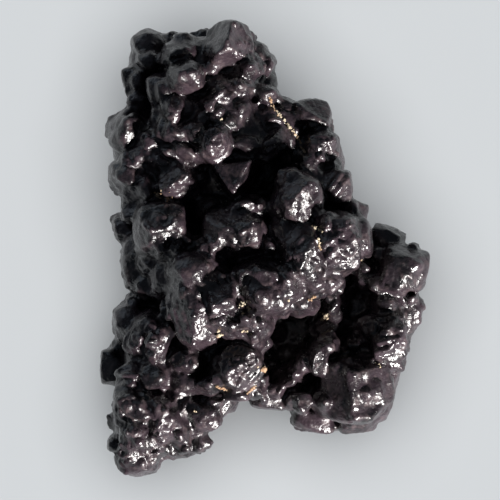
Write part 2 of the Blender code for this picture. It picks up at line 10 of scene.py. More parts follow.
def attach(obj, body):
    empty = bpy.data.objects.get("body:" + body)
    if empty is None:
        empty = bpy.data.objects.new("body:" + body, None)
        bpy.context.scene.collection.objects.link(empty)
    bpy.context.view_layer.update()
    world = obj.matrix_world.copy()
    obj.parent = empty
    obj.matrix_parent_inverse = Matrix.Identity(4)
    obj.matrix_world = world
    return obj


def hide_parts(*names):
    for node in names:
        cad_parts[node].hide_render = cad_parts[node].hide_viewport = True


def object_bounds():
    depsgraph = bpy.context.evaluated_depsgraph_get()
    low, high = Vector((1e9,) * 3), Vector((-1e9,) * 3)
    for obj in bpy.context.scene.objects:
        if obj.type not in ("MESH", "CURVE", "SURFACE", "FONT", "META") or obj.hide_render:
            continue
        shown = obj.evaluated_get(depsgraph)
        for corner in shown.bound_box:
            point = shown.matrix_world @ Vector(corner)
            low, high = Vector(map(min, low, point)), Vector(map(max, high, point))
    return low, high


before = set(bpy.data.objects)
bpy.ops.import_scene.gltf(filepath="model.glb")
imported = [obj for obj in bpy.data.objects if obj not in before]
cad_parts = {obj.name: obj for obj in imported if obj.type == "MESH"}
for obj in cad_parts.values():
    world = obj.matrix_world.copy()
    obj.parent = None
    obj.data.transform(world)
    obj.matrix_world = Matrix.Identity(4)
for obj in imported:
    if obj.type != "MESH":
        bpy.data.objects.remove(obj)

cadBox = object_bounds()
mm = 0.001

nodule = {
    "coreCell": 0.5,        # how fine the body under the lumps is
    "coreSink": 0.9,        # how far that body lies under the solid's own skin, where the lumps show
    "sinkFrom": 11.0,       # the height where the sinking starts, and where it is full
    "sinkFull": 17.0,
    "skinCell": 0.23,       # how fine the finished skin is
    "mostTriangles": 199000,
    "fillingDrop": 0.1,     # how far the filling's tops lie under their rows
    "fillingDeep": 9.0,
    "fillingNarrow": 0.90,
    "fillingSquare": 2.5,
    "spread": 1.10,         # lumps a little wider than their rows, so that neighbours meet
    "skirtWider": 1.6,      # a lump stands in a lower, wider one, so that neighbours meet in a crease
    "skirtDrop": 1.3,
    "shift": (-0.09, 0.0),  # from the middle of the photographed outline to the middle of the solid
    "lean": 14,             # how far a lump leans off upright, in degrees
    "edgeLean": 4,          # the same for a lump on the outline
    "edgeGap": 0.1,         # how far every lump stays inside the solid's box
    "outlineSteps": 8,      # points round a lump that are tried against the outline
    "above": 100,           # a height well over the stone, from where it is felt for
    "weld": 0.001,          # points closer than this are one
    "smoothing": 0.5,       # how much one round of smoothing does
    "bodyRounds": 3,        # rounds of it on the body, and on the finished skin
    "skinRounds": 2,
    "seed": 5,
}

# Lumps of the face that shows: x, y, top, wide, high, deep, turn, and how square the lump is.
crown = [
    (-2.0, 25.6, 29.0, 3.0, 2.9, 6.0, 0, 2.3), (-6.3, 27.5, 28.8, 2.4, 2.1, 5.0, 0, 2.2),
    (0.75, 26.5, 22.8, 2.9, 3.3, 7.0, 0, 2.3), (0.8, 24.0, 21.0, 2.8, 2.9, 7.0, 0, 2.3),
    (-5.1, 22.6, 29.5, 4.7, 4.0, 9.0, 12, 2.5), (-2.9, 23.3, 29.0, 2.9, 3.0, 6.0, 0, 2.3),
    (-10.8, 29.3, 25.5, 4.4, 3.4, 8.0, 0, 2.2), (-11.7, 27.4, 28.5, 4.3, 3.0, 6.0, 0, 2.3),
    (-13.8, 22.5, 29.0, 3.2, 3.6, 7.0, 15, 2.2), (-7.6, 26.4, 25.8, 4.2, 3.2, 7.0, -20, 2.2),
    (-16.2, 29.3, 22.5, 5.4, 4.6, 8.0, 15, 2.4), (-12.9, 30.0, 19.5, 3.6, 3.0, 7.0, 0, 2.2),
    (-15.9, 26.9, 24.5, 4.6, 3.2, 7.0, 0, 2.4), (-17.3, 24.2, 21.8, 5.2, 4.9, 9.0, 15, 2.4),
    (-17.3, 21.0, 22.5, 4.0, 3.2, 7.0, 0, 2.2), (-8.7, 29.9, 19.5, 4.4, 3.6, 7.0, 0, 2.2),
    (0.7, 21.9, 26.8, 4.4, 3.2, 7.0, -20, 2.3),
]

neck = [
    (-12.3, 20.4, 30.2, 2.4, 1.6, 4.0, 10, 2.2), (-12.2, 18.8, 30.0, 2.6, 1.6, 4.0, 15, 2.2),
    (-13.6, 19.3, 27.5, 2.6, 4.4, 7.0, -10, 2.3), (-12.1, 16.5, 30.0, 4.4, 3.0, 7.0, -10, 2.6),
    (-9.05, 16.8, 31.8, 1.8, 1.6, 4.0, 25, 4.0), (-6.8, 15.0, 32.8, 3.5, 4.1, 7.0, 0, 2.3),
    (-7.3, 20.2, 30.5, 2.0, 1.9, 4.0, 0, 2.2), (-5.9, 19.2, 29.8, 1.7, 1.5, 4.0, 0, 2.2),
    (-6.1, 17.9, 30.0, 2.4, 1.5, 4.0, -30, 2.3), (-4.3, 17.9, 29.6, 2.0, 1.8, 4.0, 0, 2.2),
    (-8.2, 18.5, 30.0, 1.7, 1.6, 4.0, 0, 2.2), (-2.6, 19.3, 28.6, 3.0, 2.6, 6.0, 0, 2.3),
    (-1.0, 17.4, 27.2, 2.0, 2.7, 5.0, 0, 2.4), (-2.2, 14.3, 29.2, 4.2, 2.9, 7.0, -8, 2.3),
    (1.4, 15.2, 28.7, 4.4, 2.2, 6.0, 42, 2.3), (-10.6, 13.9, 29.5, 3.5, 2.0, 5.0, -35, 2.3),
    (-12.8, 13.4, 28.8, 2.9, 1.6, 5.0, -28, 2.3), (-8.4, 10.3, 27.0, 1.8, 2.0, 5.0, 20, 2.2),
    (1.6, 18.5, 26.6, 3.6, 2.4, 6.0, -25, 2.4),
]

leftFlank = [
    (-19.8, 18.3, 22.5, 6.8, 3.2, 8.0, 37, 2.4), (-18.6, 16.4, 26.5, 4.2, 4.7, 8.0, -25, 2.4),
    (-16.6, 15.7, 26.5, 1.9, 2.1, 5.0, 0, 2.2), (-17.0, 13.8, 27.2, 3.1, 2.6, 6.0, 20, 2.3),
    (-15.2, 12.6, 27.6, 2.5, 2.3, 5.0, 0, 2.2), (-13.6, 12.2, 27.8, 2.2, 1.9, 5.0, 0, 2.2),
    (-19.2, 13.2, 24.0, 2.9, 2.2, 6.0, 0, 2.3), (-19.0, 10.7, 27.2, 4.0, 3.2, 7.0, 10, 2.6),
    (-20.9, 10.6, 22.0, 1.9, 3.6, 7.0, 0, 2.3), (-19.6, 8.9, 24.0, 3.4, 2.5, 6.0, 0, 2.3),
    (-16.6, 9.1, 27.8, 3.6, 3.8, 7.0, 15, 2.5), (-13.8, 0.3, 30.3, 2.6, 2.2, 5.0, 0, 2.3),
    (-12.1, 0.5, 30.6, 1.3, 2.8, 5.0, -15, 2.3), (-10.8, 1.2, 30.0, 2.1, 1.8, 5.0, -20, 2.4),
    (-16.0, 0.2, 27.5, 2.5, 1.4, 5.0, 0, 2.3), (-18.5, 5.5, 25.0, 3.3, 3.3, 7.0, 0, 3.0),
    (-19.5, 2.9, 19.0, 3.6, 4.8, 8.0, 20, 2.5), (-18.0, 0.2, 22.0, 2.4, 3.8, 8.0, 10, 2.4),
    (-16.0, -1.7, 25.5, 2.0, 2.4, 5.0, 0, 2.3), (-13.6, -2.0, 27.0, 2.8, 2.6, 6.0, 0, 2.5),
    (-17.5, -2.6, 21.0, 2.5, 3.2, 7.0, 0, 2.4), (-16.2, -4.8, 22.0, 4.6, 3.8, 9.0, 0, 2.4),
    (-14.0, -4.6, 24.0, 2.6, 3.6, 8.0, -20, 2.4),
]

rightShoulder = [
    (12.4, 6.1, 26.5, 3.4, 2.6, 7.0, -20, 2.3), (6.4, 12.2, 27.2, 2.8, 3.0, 6.0, 0, 2.3),
    (4.4, 15.6, 26.2, 2.6, 3.6, 6.0, 30, 2.3), (10.4, -24.6, 16.5, 4.4, 3.0, 8.0, 0, 2.4),
    (15.2, -19.8, 25.4, 3.6, 3.6, 8.0, 0, 2.3),
    (3.2, 20.4, 24.0, 4.2, 3.0, 7.0, -15, 2.4), (10.0, 12.2, 24.5, 2.9, 2.7, 7.0, 0, 2.4),
    (7.3, 12.7, 26.3, 2.1, 2.7, 6.0, 20, 2.3), (5.9, 12.0, 26.0, 2.4, 1.8, 5.0, -15, 2.3),
    (4.3, 14.4, 24.0, 3.4, 4.2, 7.0, -35, 2.4), (10.6, 8.9, 24.0, 3.9, 4.1, 8.0, 35, 3.0),
    (12.2, 6.2, 20.5, 4.0, 3.2, 7.0, 0, 2.4),
]

middle = [
    (2.9, 6.3, 32.5, 3.2, 4.2, 7.0, 0, 2.3),
    (4.4, 9.4, 32.8, 3.6, 2.8, 6.0, 0, 2.2), (14.3, 2.0, 29.5, 3.0, 6.4, 10.0, 10, 3.0),
    (9.1, 3.3, 34.4, 2.3, 2.6, 5.0, 0, 2.3), (5.8, -0.2, 34.8, 4.4, 6.4, 9.0, -5, 2.6),
    (5.8, -2.6, 34.2, 2.1, 2.5, 5.0, -15, 2.3), (0.8, 0.4, 31.8, 1.9, 2.5, 6.0, 0, 2.4),
    (0.2, 1.9, 30.8, 2.5, 2.2, 5.0, 0, 2.3), (2.9, 2.6, 32.0, 2.4, 3.4, 7.0, 10, 2.3),
    (2.7, 0.3, 31.2, 1.3, 1.9, 5.0, 0, 2.3), (-2.1, 2.2, 34.5, 3.9, 4.1, 8.0, 10, 2.4),
    (-6.8, 0.8, 32.0, 4.6, 1.7, 6.0, 8, 2.5), (-8.0, 0.2, 31.0, 2.3, 2.3, 5.0, 0, 2.3),
    (-6.9, -0.6, 31.0, 1.1, 1.9, 4.0, 0, 2.3), (-2.6, 5.4, 32.2, 5.6, 3.0, 8.0, 8, 2.6),
    (-0.5, 6.0, 31.5, 1.2, 1.2, 3.0, 0, 2.2), (-9.3, -3.1, 33.8, 6.6, 4.7, 9.0, -5, 2.8),
    (-7.3, -4.4, 33.2, 2.7, 1.9, 5.0, 35, 2.4), (-8.7, -5.4, 33.0, 1.9, 1.7, 5.0, 0, 2.3),
    (-11.8, -7.2, 31.0, 1.8, 4.2, 7.0, -5, 2.5), (-10.3, -6.2, 32.0, 1.9, 2.3, 6.0, 0, 2.3),
    (-10.6, -8.3, 31.6, 2.0, 2.5, 6.0, 0, 2.3), (-9.9, -9.7, 31.0, 1.9, 1.7, 5.0, 0, 2.3),
    (-8.4, -11.0, 31.0, 4.0, 4.7, 9.0, -15, 2.6), (-6.2, -9.9, 33.0, 2.3, 1.9, 5.0, 35, 2.3),
    (-4.1, -10.9, 33.0, 2.0, 2.0, 5.0, 0, 2.1), (-2.2, -9.8, 33.8, 2.1, 2.3, 5.0, 0, 2.1),
    (-3.5, -8.6, 33.6, 1.7, 2.2, 5.0, -40, 2.3), (0.1, -10.4, 32.0, 1.6, 2.5, 6.0, 10, 2.2),
    (-1.2, -12.3, 31.0, 1.7, 2.4, 6.0, 20, 2.2), (-0.2, -6.3, 36.0, 2.7, 2.5, 6.0, 0, 2.3),
    (3.2, -4.2, 34.8, 2.6, 4.6, 7.0, 15, 2.3), (2.0, -6.5, 35.0, 2.7, 2.7, 6.0, 0, 2.3),
    (0.2, -3.6, 34.8, 4.0, 3.2, 8.0, 20, 2.5), (-2.3, -4.2, 34.4, 2.9, 2.9, 7.0, 30, 2.5),
    (0.6, -7.7, 34.5, 3.4, 1.8, 6.0, 0, 2.3), (6.9, -4.3, 32.0, 4.6, 3.6, 8.0, 15, 2.6),
    (7.6, -5.5, 31.0, 2.9, 1.6, 5.0, 25, 2.3), (9.6, -4.4, 31.0, 1.7, 1.6, 5.0, 45, 2.3),
    (5.7, -7.5, 28.5, 3.4, 2.3, 6.0, 8, 2.2), (8.8, -2.9, 31.5, 3.0, 2.7, 7.0, 20, 2.5),
    (-5.6, -17.0, 28.5, 2.3, 4.4, 7.0, -10, 2.3),
    (-3.5, -20.4, 27.0, 3.9, 1.9, 6.0, 0, 2.3), (-7.4, -19.2, 27.0, 2.5, 1.4, 5.0, 20, 2.3),
]

rightLobe = [
    (20.2, -2.4, 25.3, 7.0, 6.4, 10.0, -15, 2.3), (18.2, -5.0, 24.6, 3.7, 1.9, 5.0, -12, 2.3),
    (22.3, -4.4, 23.5, 2.4, 3.2, 7.0, 0, 2.3), (18.0, 1.7, 20.5, 5.2, 3.6, 8.0, -18, 2.4),
    (21.5, 0.2, 21.5, 2.2, 1.9, 6.0, 0, 2.3), (21.2, -8.5, 20.5, 3.5, 5.0, 8.0, 5, 2.4),
    (21.4, -7.1, 22.4, 1.9, 1.5, 4.0, 20, 2.3), (18.0, -8.0, 24.3, 4.4, 3.1, 8.0, -12, 2.6),
    (15.4, -10.8, 26.0, 2.2, 2.3, 6.0, 0, 2.2), (18.4, -10.3, 25.8, 1.6, 2.1, 5.0, 0, 2.3),
    (16.8, -9.8, 25.0, 1.7, 1.1, 4.0, 0, 2.3), (18.4, -15.8, 22.5, 4.6, 3.2, 8.0, -8, 3.2),
    (20.4, -12.9, 19.5, 1.9, 4.0, 8.0, -5, 2.6), (14.8, -4.2, 22.3, 2.6, 1.9, 5.0, 0, 2.2),
    (14.3, -2.5, 23.3, 1.5, 1.7, 5.0, 0, 2.3), (10.5, -8.2, 22.5, 2.3, 3.0, 7.0, -10, 2.4),
    (10.7, -6.2, 21.0, 1.9, 1.3, 5.0, 0, 2.3), (12.5, -5.9, 19.0, 1.5, 2.2, 5.0, 0, 2.4),
    (9.7, -10.9, 19.5, 1.9, 2.4, 6.0, 0, 2.3), (8.5, -11.3, 19.0, 2.6, 1.9, 5.0, 0, 2.3),
    (12.0, -11.0, 18.5, 3.4, 2.7, 6.0, 0, 2.4), (14.4, -12.8, 22.0, 1.9, 1.9, 5.0, 0, 2.3),
    (13.4, -13.8, 21.5, 1.9, 1.5, 5.0, -30, 2.3), (12.2, -14.6, 20.5, 3.2, 1.5, 5.0, 20, 2.4),
    (15.2, -15.6, 23.2, 1.9, 2.0, 5.0, 0, 2.2),
    (9.2, -13.5, 25.5, 2.0, 2.1, 6.0, 20, 2.3), (2.4, -19.8, 22.0, 2.5, 1.5, 5.0, 30, 2.3),
    (3.9, -18.8, 22.5, 2.3, 1.5, 5.0, 50, 2.3), (5.1, -17.1, 23.3, 2.5, 1.7, 6.0, 55, 2.3),
    (6.2, -15.9, 23.5, 1.5, 1.9, 5.0, -30, 2.3), (0.9, -21.6, 20.0, 5.4, 2.7, 7.0, -10, 2.4),
    (0.4, -21.3, 21.0, 2.3, 1.9, 5.0, 0, 2.3), (4.4, -21.5, 22.0, 2.3, 3.4, 8.0, -15, 2.3),
    (5.6, -22.6, 22.0, 2.3, 1.7, 6.0, -20, 2.3), (9.1, -21.7, 24.3, 2.4, 2.9, 7.0, 0, 2.4),
    (9.8, -18.9, 23.0, 1.6, 2.8, 6.0, 0, 2.3), (18.4, -18.4, 18.8, 2.8, 5.4, 8.0, -12, 2.6),
    (7.4, -24.6, 18.5, 6.6, 3.2, 8.0, -12, 2.6), (13.6, -24.9, 19.5, 6.0, 3.0, 8.0, 5, 2.6),
]

leftLeg = [
    (-18.8, -10.7, 20.5, 5.6, 6.6, 10.0, 10, 2.3), (-18.2, -7.4, 19.0, 3.2, 2.6, 8.0, 0, 2.3),
    (-21.1, -16.8, 15.5, 4.6, 5.4, 8.0, 0, 2.2), (-17.1, -11.8, 24.5, 5.6, 2.3, 8.0, 62, 2.8),
    (-14.0, -12.9, 26.0, 2.3, 4.8, 8.0, -15, 2.8), (-16.6, -15.0, 22.5, 4.2, 3.4, 8.0, 0, 2.6),
    (-18.5, -17.5, 24.2, 3.2, 1.8, 6.0, 12, 2.3), (-18.3, -19.1, 23.8, 3.2, 1.4, 6.0, 0, 2.3),
    (-15.5, -17.9, 25.0, 3.5, 3.6, 8.0, 0, 2.3), (-18.2, -22.2, 25.3, 4.2, 4.4, 8.0, 0, 2.4),
    (-14.3, -22.9, 25.8, 3.3, 3.1, 7.0, 0, 2.4), (-13.1, -24.7, 26.0, 4.2, 2.7, 8.0, 38, 2.8),
    (-20.5, -23.6, 18.5, 1.9, 7.0, 8.0, 0, 2.4), (-17.9, -26.3, 24.3, 3.2, 3.4, 7.0, 0, 2.3),
    (-15.0, -27.1, 22.8, 2.4, 2.1, 6.0, 0, 2.2), (-17.7, -30.2, 21.0, 6.0, 4.9, 9.0, 0, 2.4),
    (-19.7, -28.5, 22.0, 2.3, 2.1, 5.0, 0, 2.2), (-21.3, -28.0, 16.5, 2.0, 2.2, 6.0, 0, 2.2),
    (-16.3, -28.9, 21.5, 1.5, 1.7, 4.0, 0, 2.2), (-15.2, -28.3, 21.5, 1.6, 1.4, 4.0, 0, 2.2),
    (-14.9, -29.6, 19.5, 1.2, 1.9, 5.0, -15, 2.3), (-11.8, -26.1, 24.0, 2.1, 2.1, 6.0, -30, 2.8),
    (-10.6, -25.7, 22.5, 1.7, 1.7, 5.0, 0, 2.3), (-10.9, -27.8, 21.5, 2.1, 3.2, 7.0, 0, 2.3),
    (-9.0, -27.6, 20.5, 2.6, 3.5, 7.0, 0, 2.2), (-13.2, -28.9, 17.5, 3.0, 2.4, 7.0, -35, 3.0),
    (-11.2, -22.5, 23.5, 2.8, 4.2, 7.0, 0, 2.3), (-7.9, -23.6, 24.3, 4.3, 4.5, 8.0, 10, 2.4),
    (-6.9, -21.4, 23.5, 3.0, 1.2, 5.0, 10, 2.4), (-5.4, -22.6, 20.5, 1.8, 4.2, 7.0, -25, 2.4),
    (-11.9, -16.1, 25.0, 3.0, 3.0, 7.0, 20, 2.4), (-9.0, -15.9, 25.6, 2.3, 2.2, 6.0, 30, 2.3),
    (-10.7, -18.5, 24.3, 3.9, 3.1, 7.0, 0, 2.5), (-9.9, -13.1, 27.0, 1.4, 2.1, 5.0, 0, 2.3),
]

# Blocks with flats that show: x, y, top, wide, high, deep, how square, then the flats as compass
# (0 is +x, 90 is +y), how steeply they look up, and how far out they lie.
blocks = [
    (-2.9, -16.4, 31.0, 6.6, 6.8, 9.0, 2.6, [(309, 56, 0.60), (130, 60, 0.80)]),
    (5.4, 7.1, 35.0, 6.6, 7.2, 10.0, 2.5, [(325, 58, 0.66), (120, 50, 0.80)]),
    (8.0, -15.4, 27.0, 3.0, 5.2, 9.0, 2.6, [(309, 60, 0.62)]),
    (10.5, 8.9, 28.4, 4.8, 5.2, 9.0, 3.2, [(130, 62, 0.78), (310, 58, 0.80)]),
    (-4.2, 10.1, 31.0, 7.0, 6.4, 9.0, 2.8,
     [(97, 10, 0.56), (212, 8, 0.42), (335, 12, 0.50), (140, 76, 0.72)]),
    (-6.0, -7.2, 35.3, 5.0, 6.0, 10.0, 2.8, [(100, 58, 0.62), (290, 48, 0.62), (185, 25, 0.70)]),
    (13.5, -19.9, 26.5, 10.8, 10.0, 13.0, 2.9,
     [(190, 56, 0.64), (355, 62, 0.60), (80, 35, 0.80), (318, 8, 0.78)]),
    (-9.3, -8.2, 33.4, 6.6, 10.6, 11.0, 2.9, [(215, 52, 0.70), (60, 62, 0.80), (300, 55, 0.76)]),
    (10.9, 0.9, 34.5, 6.2, 8.0, 11.0, 3.4, [(300, 66, 0.80), (120, 62, 0.84), (25, 30, 0.80)]),
    (-14.0, 3.4, 31.5, 7.2, 7.0, 10.0, 3.2, [(100, 62, 0.74), (285, 50, 0.72), (200, 40, 0.80)]),
    (-4.8, 2.8, 33.6, 7.4, 5.8, 10.0, 3.0, [(110, 52, 0.72), (280, 60, 0.78), (188, 45, 0.76)]),
    (8.4, 14.2, 27.2, 5.4, 5.6, 9.0, 2.8, [(309, 60, 0.66), (250, 50, 0.76), (330, 30, 0.78)]),
    (7.0, 19.0, 25.0, 6.0, 5.2, 9.0, 2.8, [(60, 60, 0.68), (260, 45, 0.76)]),
    (-4.6, 28.8, 31.0, 6.9, 7.5, 12.0, 2.4, [(150, 38, 0.66), (20, 45, 0.68), (285, 40, 0.74)]),
    (-10.8, 24.3, 33.0, 5.6, 4.9, 10.0, 2.5, [(275, 55, 0.76), (110, 35, 0.78), (185, 35, 0.78)]),
    (-12.0, 9.6, 30.5, 5.8, 5.0, 9.0, 2.8, [(140, 48, 0.64), (305, 55, 0.72), (30, 20, 0.80)]),
    (18.0, -13.0, 27.2, 5.4, 5.8, 10.0, 3.4, [(300, 64, 0.80), (150, 58, 0.80)]),
]

# The mass between the lumps: x, y, wide, high, and its top.
filling = [
    (-8.0, 24.8, 14.0, 12.5, 26.6), (-15.8, 26.0, 7.5, 9.5, 21.0), (-1.8, 26.5, 7.0, 8.0, 23.5),
    (-8.0, 18.5, 12.0, 10.0, 28.0), (-1.0, 17.5, 9.5, 10.0, 25.6), (-11.0, 14.0, 9.0, 8.0, 27.4),
    (-17.8, 15.0, 8.0, 10.0, 23.5), (-16.8, 9.5, 8.5, 8.5, 26.0), (-11.8, 9.5, 8.0, 7.0, 28.0),
    (-5.0, 10.5, 9.0, 7.0, 26.0), (6.5, 17.0, 8.5, 9.0, 22.0), (8.5, 12.0, 7.5, 9.5, 22.0),
    (-1.0, 11.0, 16.0, 14.0, 17.0), (-14.6, 3.0, 8.4, 10.0, 29.0), (-17.2, -1.5, 7.0, 11.0, 21.5),
    (-12.5, -3.5, 8.0, 8.0, 27.0), (-4.2, 2.6, 10.0, 9.0, 31.5), (-6.6, 6.0, 8.0, 5.0, 26.5),
    (5.2, 6.6, 8.0, 9.0, 32.5), (10.2, 6.6, 6.5, 7.5, 22.0), (10.4, 1.0, 9.0, 10.5, 31.5),
    (3.0, 0.5, 9.0, 8.0, 30.5), (-8.6, -5.0, 10.5, 11.0, 31.5), (0.6, -4.6, 11.0, 8.5, 33.0),
    (6.4, -3.8, 8.0, 6.5, 30.0), (-8.6, -10.6, 7.5, 8.0, 30.5), (-2.2, -10.6, 7.5, 7.0, 30.5),
    (-3.4, -16.8, 8.0, 8.5, 27.5), (19.3, -2.6, 8.4, 8.0, 22.0), (19.0, -9.0, 8.0, 9.0, 21.0),
    (17.2, -14.0, 7.5, 9.0, 22.0), (13.4, -8.0, 9.0, 12.0, 17.0), (13.5, -14.5, 8.5, 9.0, 17.5),
    (13.6, -20.0, 12.5, 12.5, 19.0), (8.6, -15.4, 5.5, 7.5, 20.0), (4.6, -19.6, 9.0, 8.0, 19.0),
    (5.0, -12.5, 14.0, 16.0, 12.0), (-17.6, -10.4, 7.5, 9.0, 18.5), (-19.8, -17.0, 6.5, 7.0, 14.5),
    (-14.6, -13.0, 8.0, 9.0, 23.5), (-16.6, -18.0, 7.5, 8.0, 22.0), (-16.2, -23.6, 9.0, 9.0, 22.5),
    (-16.5, -30.8, 4.5, 3.0, 17.5), (-11.0, -18.5, 9.0, 9.0, 22.5), (-10.6, -24.0, 8.0, 8.0, 21.5),
    (-6.6, -20.6, 8.0, 7.0, 21.5), (-17.4, -29.0, 6.6, 6.6, 19.0), (-11.8, -27.6, 6.5, 5.5, 19.0),
    (3.4, 17.2, 4.5, 6.5, 25.6), (-5.5, 18.5, 8.0, 8.0, 29.0), (-12.5, 18.0, 5.0, 7.5, 28.0),
    (-8.0, 14.2, 8.5, 6.0, 29.0), (-15.5, 15.2, 4.5, 4.5, 27.6), (-16.8, 9.4, 4.5, 4.0, 27.0),
    (-10.6, 19.8, 4.5, 5.0, 28.6), (-11.2, 16.6, 5.0, 3.6, 29.7), (-17.4, 12.6, 3.6, 3.6, 26.8),
    (-2.0, 16.2, 7.5, 5.5, 27.4), (7.5, 9.5, 6.0, 6.5, 24.5), (9.2, -21.0, 4.0, 5.0, 19.0),
]

knobs = {
    "masters": 16,              # how many different stones the lumps are copied from
    "masterCell": 0.06,         # how softly a master's flats meet, on a stone 2 across
    "masterFine": 4,            # how finely the ball is divided that it is cut from
    "masterFlats": 9,           # flats on each, and how far out they lie
    "flatReach": (0.74, 0.92),
    "squares": (2.0, 2.5, 3.0, 3.5),  # how square the masters are, in turn
    "cast": (0.02, 0.8, 0.42),  # least and most of the swelling to a box, and how much squareness adds
    "masterRounds": 2,          # rounds of smoothing, and the share of the triangles that is kept
    "masterKept": 0.25,
    "onLumps": (0, 2),          # small knobs on each big lump that shows, from and to
    "bigLump": 3.0,
    "onLumpSize": (0.35, 0.6),  # their size against their lump
    "onLumpReach": 0.66,        # how far out their middles lie
    "onLumpUp": (0.8, 0.15),    # how much of their slope is kept, and what is added upwards
    "onLumpSlim": (0.7, 1),     # their other sides against the longest
    "onLumpLean": 40,
    "backSpacing": 2.3,         # distance between the small knobs of the sides and the back
    "backSize": (2.0, 3.4),
    "backSlim": (0.75, 1),
    "backLean": 60,
    "backSunk": 0.33,           # how much of one lies under the surface
    "floorGap": 0.6,            # they stay this far off the floor
    "backBelow": 17.0,
    "sideBelow": 27.0,          # knobs reach this high on what faces sideways
    "sideUp": 0.35,
    "seed": 11,
}

relief = {
    "cobble": (2.0, 0.28),      # size and height of the rounded swellings with creases between them
    "dimple": (0.95, 0.28),     # size and depth of the hammered dimples
    "grit": (0.55, 0.14),       # size and height of the finest unevenness
    "crease": (0.55, 0.6),      # how wide the creases are, and how much of a swelling lies under the skin
    "dimpleEdge": 0.6,          # where a dimple ends
    "warp": 0.9,                # how far the pattern is pulled about, and over what distance
    "warpCell": 3.1,
    "warpSeed": 7,              # any whole number but 0, which would pull it otherwise each run
    "quiet": (-0.3, 0.4, 0.4),  # a slow noise between the first two calms it, down to the third
    "quietCell": 6,
    "calm": 0.35,               # what is left of it in the smooth places
    "rough": 1.7,               # and how much more there is in the rough ones
    "placeCore": 0.6,           # how far out such a place is at its full strength
    "facesUp": 0.05,            # bumps and edges are put on what faces up more than this,
    "flatFrom": 0.15,           # from nothing here to their full height this much further
    "flatOver": 0.5,
    "glint": (0.88, 0.42),      # half the width of a small bump that catches the light, and its height
    "glintSizes": (0.7, 1.25),  # from and to, against that size
    "glintLong": 0.4,           # how far one is drawn out to a side, at most, and upwards
    "glintRise": 0.01,
    "ridge": (0.60, 0.38),
    "groove": (0.45, 0.40),
    "ring": (0.45, 0.40),
    "ringHollow": 0.35,         # how deep a ringed knob's middle is, against its rim
    "glintOff": (-0.25, 0.30),  # the light catches a bump or an edge to the lower right of its middle
}

# Places that are smoother and rougher than the rest: x, y, how far round.
smoothPlaces = [
    (20.0, -2.4, 4.5), (13.0, -19.5, 5.0), (-4.2, 9.8, 3.6), (-21.0, 17.0, 3.5), (-9.6, 19.8, 2.2),
    (-21.0, -18.0, 3.5), (-5.0, 31.0, 3.2), (9.5, -25.0, 4.0), (6.4, 20.0, 3.0), (-17.0, 25.0, 4.0),
]
roughPlaces = [
    (-2.7, -16.6, 4.0), (10.9, 0.9, 4.2), (18.2, -13.2, 3.2), (-11.6, 9.8, 3.2), (-7.2, -9.0, 3.6),
    (-16.4, -24.0, 4.5), (6.6, 6.6, 3.4), (7.9, -15.3, 2.4), (-7.0, 16.5, 3.6), (-2.0, 26.0, 3.0),
    (5.5, -2.0, 3.4), (-3.0, 2.5, 3.0), (-5.8, -12.0, 3.0), (8.0, 15.0, 3.5), (-11.5, 2.0, 3.5),
    (-16.5, -13.0, 3.5),
]

